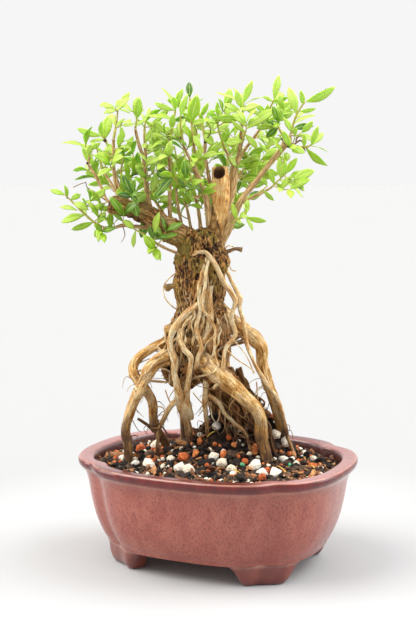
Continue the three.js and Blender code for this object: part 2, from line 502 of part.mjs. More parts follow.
// The soil's height: level near the rim, heaped up under the trunk, and broken by lumps.
function soilHeight(x, y, lump = 1) {
  const across = x * Math.cos(EYE.turn) + y * Math.sin(EYE.turn);
  const behind = -x * Math.sin(EYE.turn) + y * Math.cos(EYE.turn);
  let height = SOIL.level;
  for (const mound of MOUNDS) {
    const a = (across - mound.across) / mound.wide;
    const b = (behind - mound.behind) / mound.deep;
    height += mound.height * Math.exp(-(a * a + b * b) / 2);
  }
  return height + lump * (Math.sin(0.33 * x + 1) * Math.cos(0.29 * y) + 0.7 * Math.sin(0.61 * x - 0.47 * y));
}

function makeSoil(rootSleeves) {
  const inside = [...INNER_WALL].reverse().filter(([, z]) => z < SOIL.level);
  const wall = inside.map(([inset, z]) => rimRing(inset + SOIL.gap, z === POT.floor ? z + SOIL.gap : z));
  const topInset = THREE.MathUtils.mapLinear(SOIL.level, 60, 75.2, 13.4, 12) + SOIL.gap;
  const edge = rimRing(topInset, SOIL.level);
  const inner = SOIL.rings.map((share) => edge.map(({ x, y }) => (
    new THREE.Vector3(x * share, y * share, soilHeight(x * share, y * share)))));
  let soil = toSolid(loft([...wall, edge, ...inner]));
  const draw = seededDraw(SOIL.grainSeed);
  for (let grain = 0; grain < SOIL.grains; grain += 1) {
    const angle = 2.4 * grain + 0.5 * draw();
    const radius = 24 + 52 * Math.sqrt((grain + 0.5) / SOIL.grains);
    const x = radius * Math.cos(angle);
    const y = radius * Math.sin(angle) * (POT.halfWidth / POT.halfLength);
    const lump = new THREE.IcosahedronGeometry(SOIL.grainSize + SOIL.grainSpread * draw(), 0);
    lump.scale(1, 0.8 + 0.3 * draw(), 0.7 + 0.2 * draw());
    lump.rotateZ(6.28 * draw());
    lump.translate(x, y, soilHeight(x, y) + 1);
    soil = soil.add(toSolid(lump));
  }
  for (const sleeve of rootSleeves) soil = soil.subtract(sleeve);
  for (const side of [-1, 1]) {
    const pocketSide = MESH_PAD.side + 2 * SOIL.padGap;
    const pocketTop = POT.floor + MESH_PAD.gap + MESH_PAD.thick + SOIL.padGap;
    const pocket = new THREE.BoxGeometry(pocketSide, pocketSide, 2 * (pocketTop - POT.floor));
    pocket.translate(side * POT.drainAcross, 0, POT.floor);
    soil = soil.subtract(toSolid(pocket));
  }
  return largest(soil);
}

// The biggest of a solid's separate pieces.
function largest(solid) {
  const pieces = solid.decompose();
  return pieces.reduce((best, piece) => (piece.volume() > best.volume() ? piece : best));
}

// The woody and the leafy stretch of a stem. The leafy one starts just past the end of the wood.
function splitStem({ path, bare, thick }) {
  const points = path.map(place);
  const wood = points.slice(0, bare).map((at, index) => (
    { at, radius: THREE.MathUtils.lerp(thick[0], thick[1], index / (bare - 1)) }));
  const leafy = points.slice(bare - 1).map((at, index, all) => (
    { at, radius: THREE.MathUtils.lerp(thick[1], 0.62, index / (all.length - 1)) }));
  const start = leafy[0].at;
  const onward = leafy[1].at.clone().sub(start).normalize();
  leafy[0].at = start.clone().addScaledVector(onward, JOINT_GAP);
  const cut = wood[bare - 1];
  const square = wood.slice(0, bare - 1);
  square.push({ at: cut.at.clone().addScaledVector(onward, -0.6), radius: cut.radius });
  square.push(cut);
  return { wood: square, leafy };
}

// The nearest point on a line of stations, and the heading there.
function nearestOn(stations, point) {
  let best = null;
  for (let index = 0; index < stations.length - 1; index += 1) {
    const segment = new THREE.Line3(stations[index].at, stations[index + 1].at);
    const lowest = index === 0 ? 0.25 : 0;
    const share = THREE.MathUtils.clamp(segment.closestPointToPointParameter(point, false), lowest, 0.97);
    const at = segment.at(share, new THREE.Vector3());
    const distance = at.distanceTo(point);
    if (!best || distance < best.distance) {
      best = { at, distance, heading: segment.delta(new THREE.Vector3()).normalize() };
    }
  }
  return best;
}

// Half the width of a leaf at a share of its length: pointed at both ends, widest a little past the middle.
function leafHalfWidth(share) {
  return Math.sin(Math.PI * share ** 1.08) ** 0.85;
}

// A pointed leaf, folded along its rib and arched, with both faces split alike.
function blade({ foot: footPoint, start, tip, width, normal }) {
  const length = start.distanceTo(tip);
  const ahead = tip.clone().sub(start).normalize();
  const side = ahead.clone().cross(normal).normalize();
  const up = side.clone().cross(ahead);
    const points = [footPoint];
  const addRow = (share, halfWidth, lift) => {
    const rib = start.clone().addScaledVector(ahead, share * length).addScaledVector(up, lift);
    const edgeLift = LEAF.fold * halfWidth;
    points.push(rib.clone().addScaledVector(side, -halfWidth).addScaledVector(up, edgeLift));
    points.push(rib.clone().addScaledVector(up, LEAF.halfThickness));
    points.push(rib.clone().addScaledVector(side, halfWidth).addScaledVector(up, edgeLift));
    points.push(rib.clone().addScaledVector(up, -LEAF.halfThickness));
  };
  if (footPoint.distanceTo(start) > 1.5) addRow(0, 0.5, 0);
  for (const share of LEAF.rows) {
    const lift = LEAF.arch * length * 4 * share * (1 - share);
    addRow(share, (width / 2) * leafHalfWidth(share), lift);
  }
  points.push(tip);
  const count = (points.length - 2) / 4;
  const last = points.length - 1;
  const faces = [];
  for (let corner = 0; corner < 4; corner += 1) {
    const next = (corner + 1) % 4;
    faces.push([0, 1 + next, 1 + corner]);
    for (let row = 0; row < count - 1; row += 1) {
      const low = 1 + 4 * row;
      const high = low + 4;
      faces.push([low + corner, low + next, high + next], [low + corner, high + next, high + corner]);
    }
    const end = 1 + 4 * (count - 1);
    faces.push([end + corner, end + next, last]);
  }
  return toSolid(closedGeometry(points, faces));
}

// Points spread over a leaf, which must stay clear of what stands there already.
function leafSamples({ start, tip, width, normal }) {
  const length = start.distanceTo(tip);
  const ahead = tip.clone().sub(start).normalize();
  const side = ahead.clone().cross(normal).normalize();
  const up = side.clone().cross(ahead);
  const samples = [];
  for (const share of [0.2, 0.4, 0.6, 0.8, 1]) {
    const lift = LEAF.arch * length * 4 * share * (1 - share);
    const rib = start.clone().addScaledVector(ahead, share * length).addScaledVector(up, lift);
    const half = share < 1 ? (width / 2) * leafHalfWidth(share) : 0;
    for (const edge of [-1, 0, 1]) samples.push(rib.clone().addScaledVector(side, edge * half));
  }
  return samples;
}

// Everything that leaves stay clear of: points with the distance to keep, and the stem they belong to.
class Crowd {
  constructor() {
    this.taken = [];
  }

  addPath(stations, owner) {
    for (let index = 0; index < stations.length - 1; index += 1) {
      const { at: from, radius } = stations[index];
      const { at: to, radius: nextRadius } = stations[index + 1];
      const steps = Math.max(1, Math.ceil(from.distanceTo(to) / 2.5));
      for (let step = 0; step <= steps; step += 1) {
        const share = step / steps;
        const reach = THREE.MathUtils.lerp(radius, nextRadius, share) + LEAF.stemClear;
        this.taken.push({ at: from.clone().lerp(to, share), reach, owner });
      }
    }
  }

  addLeaf(samples, owner) {
    for (const at of samples) this.taken.push({ at, reach: LEAF.clear, owner });
  }

  isClear(samples, owner) {
    return samples.every((sample) => this.taken.every(({ at, reach, owner: other }) => {
      const keep = other === owner ? Math.min(reach, LEAF.stemClear) : reach;
      return at.distanceToSquared(sample) > keep * keep;
    }));
  }
}

// A leaf laid where it is seen. Its depth behind the foot is the first of a few that keep it clear.
function seenLeaf([footAcross, footUp, tipAcross, tipUp, seenWidth], leafy, owner, crowd, draw) {
  const rough = place([footAcross, footUp, depthOf(nearestOn(leafy, place([footAcross, footUp, 0])).at)]);
  const root = nearestOn(leafy, rough);
  const behind = depthOf(root.at);
  const start = root.distance > 1.5 ? place([footAcross, footUp, behind]) : root.at;
  const span = Math.hypot(tipAcross - footAcross, tipUp - footUp);
  const lean = (draw() < 0.5 ? -1 : 1) * (0.12 + 0.3 * draw()) * span;
  const width = Math.max(seenWidth, 0.3 * span);
  const turn = Math.acos(Math.min(1, seenWidth / width)) * (draw() < 0.5 ? -1 : 1);
  for (const share of [1, -1, 0, 1.8, -1.8, 2.6, -2.6, 3.4, -3.4]) {
    const tip = place([tipAcross, tipUp, behind + share * lean]);
    const ahead = tip.clone().sub(start).normalize();
    const normal = turned(0, 0.35, -1).applyAxisAngle(ahead, turn);
    const leaf = { foot: root.at, start, tip, width, normal };
    const samples = leafSamples(leaf);
    if (crowd.isClear(samples, owner)) {
      crowd.addLeaf(samples, owner);
      return blade(leaf);
    }
  }
  return null;
}

// How far a point of the pot's frame lies behind the layout's plane.
function depthOf(point) {
  return -point.x * Math.sin(EYE.turn) + point.y * Math.cos(EYE.turn);
}

// Opposite pairs up the leafy stretch, each pair turned a quarter from the one below.
function pairedLeaves(pairs, leafy, owner, crowd, draw) {
  const blades = [];
  const span = leafy.length - 1;
  const phase = Math.PI * draw();
  for (let pair = 0; pair < pairs; pair += 1) {
    const along = Math.min(span - 0.02, (span * (pair + 0.75)) / pairs);
    const index = Math.floor(along);
    const from = leafy[index].at;
    const to = leafy[index + 1].at;
    const start = from.clone().lerp(to, along - index);
    const heading = to.clone().sub(from).normalize();
    const across = new THREE.Vector3(0, 0, 1).cross(heading).normalize();
    for (const half of [0, 1]) {
      const length = 12 + 6 * draw();
      const opening = 0.75 + 0.4 * draw();
      const angle = phase + half * Math.PI + (pair % 2) * (Math.PI / 2);
      for (const swing of [0, 0.5, -0.5, 1, -1]) {
        const outward = across.clone().applyAxisAngle(heading, angle + swing);
        const ahead = heading.clone().multiplyScalar(Math.cos(opening));
        ahead.addScaledVector(outward, Math.sin(opening));
        const normal = heading.clone().addScaledVector(ahead, -heading.dot(ahead)).normalize();
        const tip = start.clone().addScaledVector(ahead, length);
        const leaf = { foot: start, start, tip, width: 0.36 * length, normal };
        const samples = leafSamples(leaf);
        if (crowd.isClear(samples, owner)) {
          crowd.addLeaf(samples, owner);
          blades.push(blade(leaf));
          break;
        }
      }
    }
  }
  return blades;
}

function makeWood(stems) {
  let wood = smoothTube(TRUNK, 12, 0.045);
  wood = wood.add(smoothTube(TRUNK_FRONT, 10, 0.05));
  wood = wood.add(smoothTube(LIMB, 10, 0.04));
  wood = wood.add(smoothTube(STUB, 10, 0.03));
  for (const knob of KNOBS) wood = wood.add(smoothTube(knob, 6));
  for (const root of ROOTS) wood = wood.add(smoothTube(root, rootSides(root)));
  for (const branch of BRANCHES) wood = wood.add(smoothTube(branch, 6));
  for (const stem of stems) wood = wood.add(toSolid(tube(stem.wood, 4)));
  return wood.subtract(smoothTube(STUB_HOLLOW, 8));
}

function rootSides(root) {
  return Math.max(...root.map(([, , , radius]) => radius)) > 3 ? 7 : 4;
}

function addMesh(group, name, geometry, color, roughness) {
  const material = new THREE.MeshStandardMaterial({ color, roughness, metalness: 0, flatShading: true });
  const mesh = new THREE.Mesh(geometry, material);
  mesh.name = name;
  group.add(mesh);
}

const stems = STEMS.map(splitStem);
const wood = makeWood(stems);
const buried = ROOTS.filter((root) => root[root.length - 1][1] < SOIL.level + 20);
const sleeves = buried.map((root) => smoothTube(root, rootSides(root), 0, SOIL.rootGap));

const crowd = new Crowd();
for (const controls of [TRUNK, TRUNK_FRONT, LIMB, STUB, ...KNOBS, ...BRANCHES]) {
  crowd.addPath(smoothStations(controls, 4 * controls.length), -1);
}
for (const [owner, stem] of stems.entries()) {
  crowd.addPath(stem.wood, -1);
  crowd.addPath(stem.leafy, owner);
}
const draw = seededDraw(LEAF.seed);
const sprays = STEMS.map(({ seen, pairs }, owner) => {
  const { leafy } = stems[owner];
  const blades = seen.map((leaf) => seenLeaf(leaf, leafy, owner, crowd, draw)).filter(Boolean);
  blades.push(...pairedLeaves(pairs, leafy, owner, crowd, draw));
  return blades.reduce((spray, leaf) => spray.add(leaf), toSolid(tube(leafy, SHOOT_SIDES)));
});

const bonsai = new THREE.Group();
addMesh(bonsai, 'pot', toGeometry(makePot()), COLOUR.glaze, 0.35);
addMesh(bonsai, 'drain_mesh_left', toGeometry(makeMeshPad(-1)), COLOUR.pad, 0.6);
addMesh(bonsai, 'drain_mesh_right', toGeometry(makeMeshPad(1)), COLOUR.pad, 0.6);
addMesh(bonsai, 'soil', toGeometry(makeSoil(sleeves)), COLOUR.soil, 0.95);
addMesh(bonsai, 'trunk_and_roots', toGeometry(wood), COLOUR.bark, 0.8);
sprays.forEach((spray, index) => {
  const name = `leafy_stem_${String(index + 1).padStart(2, '0')}`;
  addMesh(bonsai, name, toGeometry(spray), COLOUR.leaf, 0.55);
});

// The part's origin is the middle of its footprint, on the table.
const middle = new THREE.Box3().setFromObject(bonsai).getCenter(new THREE.Vector3());
bonsai.position.set(-middle.x, -middle.y, 0);

export default bonsai;
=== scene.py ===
import logging
import math
from collections.abc import Callable, Sequence
from dataclasses import dataclass, field
from enum import Enum
from itertools import product

import bpy
import numpy as np
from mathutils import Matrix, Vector
from mathutils.bvhtree import BVHTree


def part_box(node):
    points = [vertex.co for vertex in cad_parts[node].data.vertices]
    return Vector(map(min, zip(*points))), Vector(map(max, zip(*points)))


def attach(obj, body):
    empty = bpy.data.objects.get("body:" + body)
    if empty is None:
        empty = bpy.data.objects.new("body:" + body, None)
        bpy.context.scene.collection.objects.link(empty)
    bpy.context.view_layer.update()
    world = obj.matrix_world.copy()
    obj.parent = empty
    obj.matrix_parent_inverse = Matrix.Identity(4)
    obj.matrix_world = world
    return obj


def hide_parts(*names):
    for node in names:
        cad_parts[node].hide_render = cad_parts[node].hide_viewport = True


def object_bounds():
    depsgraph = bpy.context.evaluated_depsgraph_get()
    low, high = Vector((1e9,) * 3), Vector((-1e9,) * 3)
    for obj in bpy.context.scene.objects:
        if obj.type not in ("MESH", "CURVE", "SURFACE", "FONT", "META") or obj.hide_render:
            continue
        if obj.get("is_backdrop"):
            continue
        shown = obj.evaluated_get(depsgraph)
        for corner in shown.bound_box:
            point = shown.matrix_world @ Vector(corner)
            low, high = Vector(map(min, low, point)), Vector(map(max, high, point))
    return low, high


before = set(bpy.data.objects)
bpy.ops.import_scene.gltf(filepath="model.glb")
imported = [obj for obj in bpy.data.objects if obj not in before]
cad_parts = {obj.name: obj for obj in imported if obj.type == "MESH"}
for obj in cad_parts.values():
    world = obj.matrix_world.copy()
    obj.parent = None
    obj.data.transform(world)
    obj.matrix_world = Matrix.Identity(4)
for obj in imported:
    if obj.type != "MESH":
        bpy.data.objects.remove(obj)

log = logging.getLogger("bonsai")

Array = np.ndarray
Piece = bpy.types.Object
Relief = Callable[[Array, Array], Array]

MM = 0.001
BODY = "root"
POT_LOW, POT_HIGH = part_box("pot")
POT_MIDDLE = np.array([(POT_LOW.x + POT_HIGH.x) / 2, (POT_LOW.y + POT_HIGH.y) / 2, 0.0])
# How far apart the patterns of neighbouring tubes are read, so that no two look alike.
GRAIN_STEP = np.array([31.0, 17.0, 53.0])


class Slot(Enum):
    """The record's material slots."""

    GLAZE = "glaze"
    SOIL = "soil"
    BARK = "bark"
    LEAF = "leaf"
    MESH = "drain_mesh"


@dataclass(frozen=True)
class Stem:
    """A young stem and its leaves.

    bare: how many of its first points are woody. thick: radii at the ends of the wood. pairs: opposite pairs
    of leaves besides those seen. tone: how yellow its leaves are, from 0 to 1. fill: how many small leaves
    come between the others. path: across, up and behind at each point. seen: leaves laid where the photo
    shows them, as foot across, foot up, tip across, tip up, width.
    """

    bare: int
    thick: tuple[float, float]
    pairs: int
    tone: float
    fill: int
    path: str
    seen: str = ""


# Where the plant's parts run, in the layout: across, up, behind, radius.
TRUNK = """-12 240 0 11.5, -12 229 0 17, -11.5 217 1 18.2, -12 204 2 17.6, -12.5 192 3 16.2, -13 181 3 15.5,
    -15 170 4 17, -18 158 5 19, -21 147 5 18.5, -26 137 5 15, -29 128 5 9"""
TRUNK_FRONT = "-4 182 -2 9, -4 168 -2 11, -3 154 -3 11, -3 141 -5 9.5, -1 131 -5 7"
LIMB = """-10 226 0 10, -20 232 -1 9.5, -30 237.5 -3 8.4, -40 243 -5 7.2, -50 249.5 -6 6.9, -60 254 -8 6.7,
    -69 256.5 -10 6.5, -76 258.5 -12 5.6"""
STUB = "-6 226 0 11, -2 238 -1 7.6, 1 250 -2 6.3, 2 262 -2 6.2, 2 273 -1 6.5, 1.5 284 1 5.8"
STUB_HOLLOW = "0.4 291 -16 5.2, 0.6 282.5 -7.5 4.5, 1 276.5 -2 3.2, 1.4 268 0 1.4"
KNOBS = [
    "-26 199.5 0 2.2, -33 199.5 0 2, -36.5 198 0 2.9, -38 197 0 1.8",
    "-26 169 3 5, -33 168.5 2 4.6, -38.5 167.5 2 3.6",
    "-2 221 -3 2.4, 6 224 -5 1.5, 13 226.5 -6 1.2, 17.5 226 -6 1.7",
    "-46 94 19 1.8, -51 98 17 1.3, -57.5 102.5 16 1",
]
ROOTS = [
    """-24 150 2 9, -33 148 -1 7.5, -41 146 -4 5.6, -47.5 141 -7 4.5, -52 133 -8 4.1, -56 125 -7 4.3,
    -60 117 -5 4.1, -63.3 109 -3 3.9, -66 101 -1 3.5, -67.3 94 0 3.6, -65.8 85 0 3.8, -65 76 0 3.4,
    -64.5 56 0 2.6""",
    """-26 159 8 6, -36 158.5 9 4.6, -44 156.5 9 3.7, -52 151.5 9 3.4, -59 145.5 8 3.4, -61.5 139.5 6 3.5,
    -58.5 132 2 3.6, -53.5 126 2 3.8, -49 119 6 3.6, -46.8 110 11 3.5, -46.5 100 16 3.5, -43.5 93 20 3.5,
    -39 86 26 3.4, -34 70 32 2.6""",
    """-10 190 -13 2, -17 184.5 -16 2.3, -24 178.5 -17 2.3, -30 171 -17 2.4, -33.5 163 -16 2.3,
    -34.3 155 -15 2.4, -31.5 146 -15 2.5, -31.2 137 -13 2.4, -30 128 -11 2.5, -28 119 -8 2.9,
    -26 111 -4 3.3, -23 103 0 2.9, -21 94 5 2.8, -20 84 9 2.6, -20 66 11 2.2""",
    """-27 169 -15 1.7, -27.5 161 -17 1.7, -24.5 154 -17 1.8, -19.5 148 -16 1.9, -20.3 139 -14 1.9,
    -21.3 130 -10 2, -22.5 121 -6 2.3, -21.5 112 -3 2.5, -19.5 103 1 2.5""",
    """-18 221.5 -15 1.1, -14 223.5 -18 1.3, -9 223.5 -19 1.4, -5.5 219.5 -19 1.8, -1 213 -18 1.8,
    4 203.5 -16 1.8, 9 195 -14 1.8, 12.5 189 -13 1.9, 10.8 182 -13 1.5, 10.3 175 -13 1.5, 12.8 165 -13 1.6,
    10 160 -14 1.5, 6 155 -15 1.5, 4.4 147 -16 1.5, 3.6 138 -17 1.5, 1 130 -16 1.4, -3 125.5 -13 1.3""",
    """-8 220 -17 1.3, -11 211 -18.5 1.4, -13 200 -18.5 1.5, -13.3 190 -17.5 1.5, -13 180 -16.5 1.5,
    -15.3 170 -16 1.6, -13.5 162 -16 1.6, -12 154 -16 1.6, -14.5 147 -15.5 1.4, -16.5 139 -13 1.2""",
    """-6 219 -18 1.1, -8.5 211 -20.5 1.1, -9.2 202 -21 1.1, -10.5 192 -20.5 1.1, -10.8 183 -19 1.1,
    -6 176.5 -17 1.1, -2 169.5 -16 1.1, -2.5 160 -16.5 1, -3 151 -16 0.9, -6 144 -14 0.9""",
    "-6 200 -13 2.4, -6 188 -13 2.4, -5.5 177 -13 2.4, -7 167 -13 2.4, -11 158 -13.5 2.2",
    """5 214 -6 1.6, 9 204 -9 1.3, 14 194.5 -11 1.5, 15.7 190 -11 2.1, 15.6 184 -11 1.3, 18 175 -10 1.4,
    20 167.5 -9 1.5, 20.5 160 -8 1.6, 24 149.5 -7 1.5, 29.5 138 -4 1.5, 36 127.5 0 1.6, 42.5 118.5 4 1.6,
    46.5 109 8 1.6, 48.7 99 11 1.6, 51 89 13 1.4, 54.5 79 13 1.4, 56 60 13 1""",
    """0 180 2 8, 9 174.5 4 6.6, 18 168 5 5.6, 26 162 5 5.3, 31.3 155 5 4.8, 32 147 6 4.3, 33 139 7 4.1,
    36 130 8 4.1, 39 121 10 4.1, 42.5 111 13 4.1, 45 101 16 3.9, 47 91 19 3.7, 50 80 21 3.4,
    52 60 22 2.6""",
    """-9 147 -7 9, -2 139.5 -11 8, 6 131 -13 6.6, 14 123 -13 5.6, 22 115.5 -12 4.9, 28.5 109 -11 4.8,
    31.5 101 -10 4.5, 31.6 93 -9 4.6, 33 84 -8 4.6, 35.5 75 -8 4.3, 37.5 56 -8 3""",
    "-8 132 -6 2.6, -9 121 -4 2, -9.4 111 -1 1.9, -8.4 102 2 1.8, -7 84 6 1.6",
    "-7 121 -5 1.6, 1 114 -5 1.5, 5 107 -5 1.5, 12 99.5 -5 1.5, 19 94 -6 1.4, 24 80 -6 1.2",
    "-27.5 118 -7 2, -33 113 -6 1.9, -37 107 -3 1.7, -41 99 3 1.7, -43 92 8 1.6, -45 72 12 1.3",
    "-10 152 12 9, -8 138 20 6.4, -4 124 27 5.2, -2 110 32 4.6, 0 96 36 4.2, 2 72 38 3",
    "-2 162 10 8, 2 148 18 6, 6 133 27 5, 10 120 34 4.5, 15 107 40 4, 18 92 44 3.6, 20 66 46 2.6",
    "-22 152 14 8, -25 140 22 5.4, -26 127 28 4.4, -25 113 32 3.9, -24 99 36 3.6, -26 72 39 2.6",
]
# The roots that are fused with the trunk.
STOUT_ROOTS = (0, 1, 9, 10, 14, 15, 16)
BRANCHES = [
    """2 230 -2 3.4, 8 242 -6 2.7, 13 253 -8 2.3, 18 263 -10 2.1, 27 274 -11 1.9, 37 287 -12 1.8,
    46 298 -13 2.2, 49 302.5 -13 3.4, 50.5 305.5 -12 1.9""",
    "-5 240 -2 3.2, -8 260 -4 2.2, -12 272 -6 2.1, -17 284 -8 1.9",
    "1 240 5 4.6, 6 255 6 3.6, 10 270 8 3.4, 11.5 284 9 3",
]
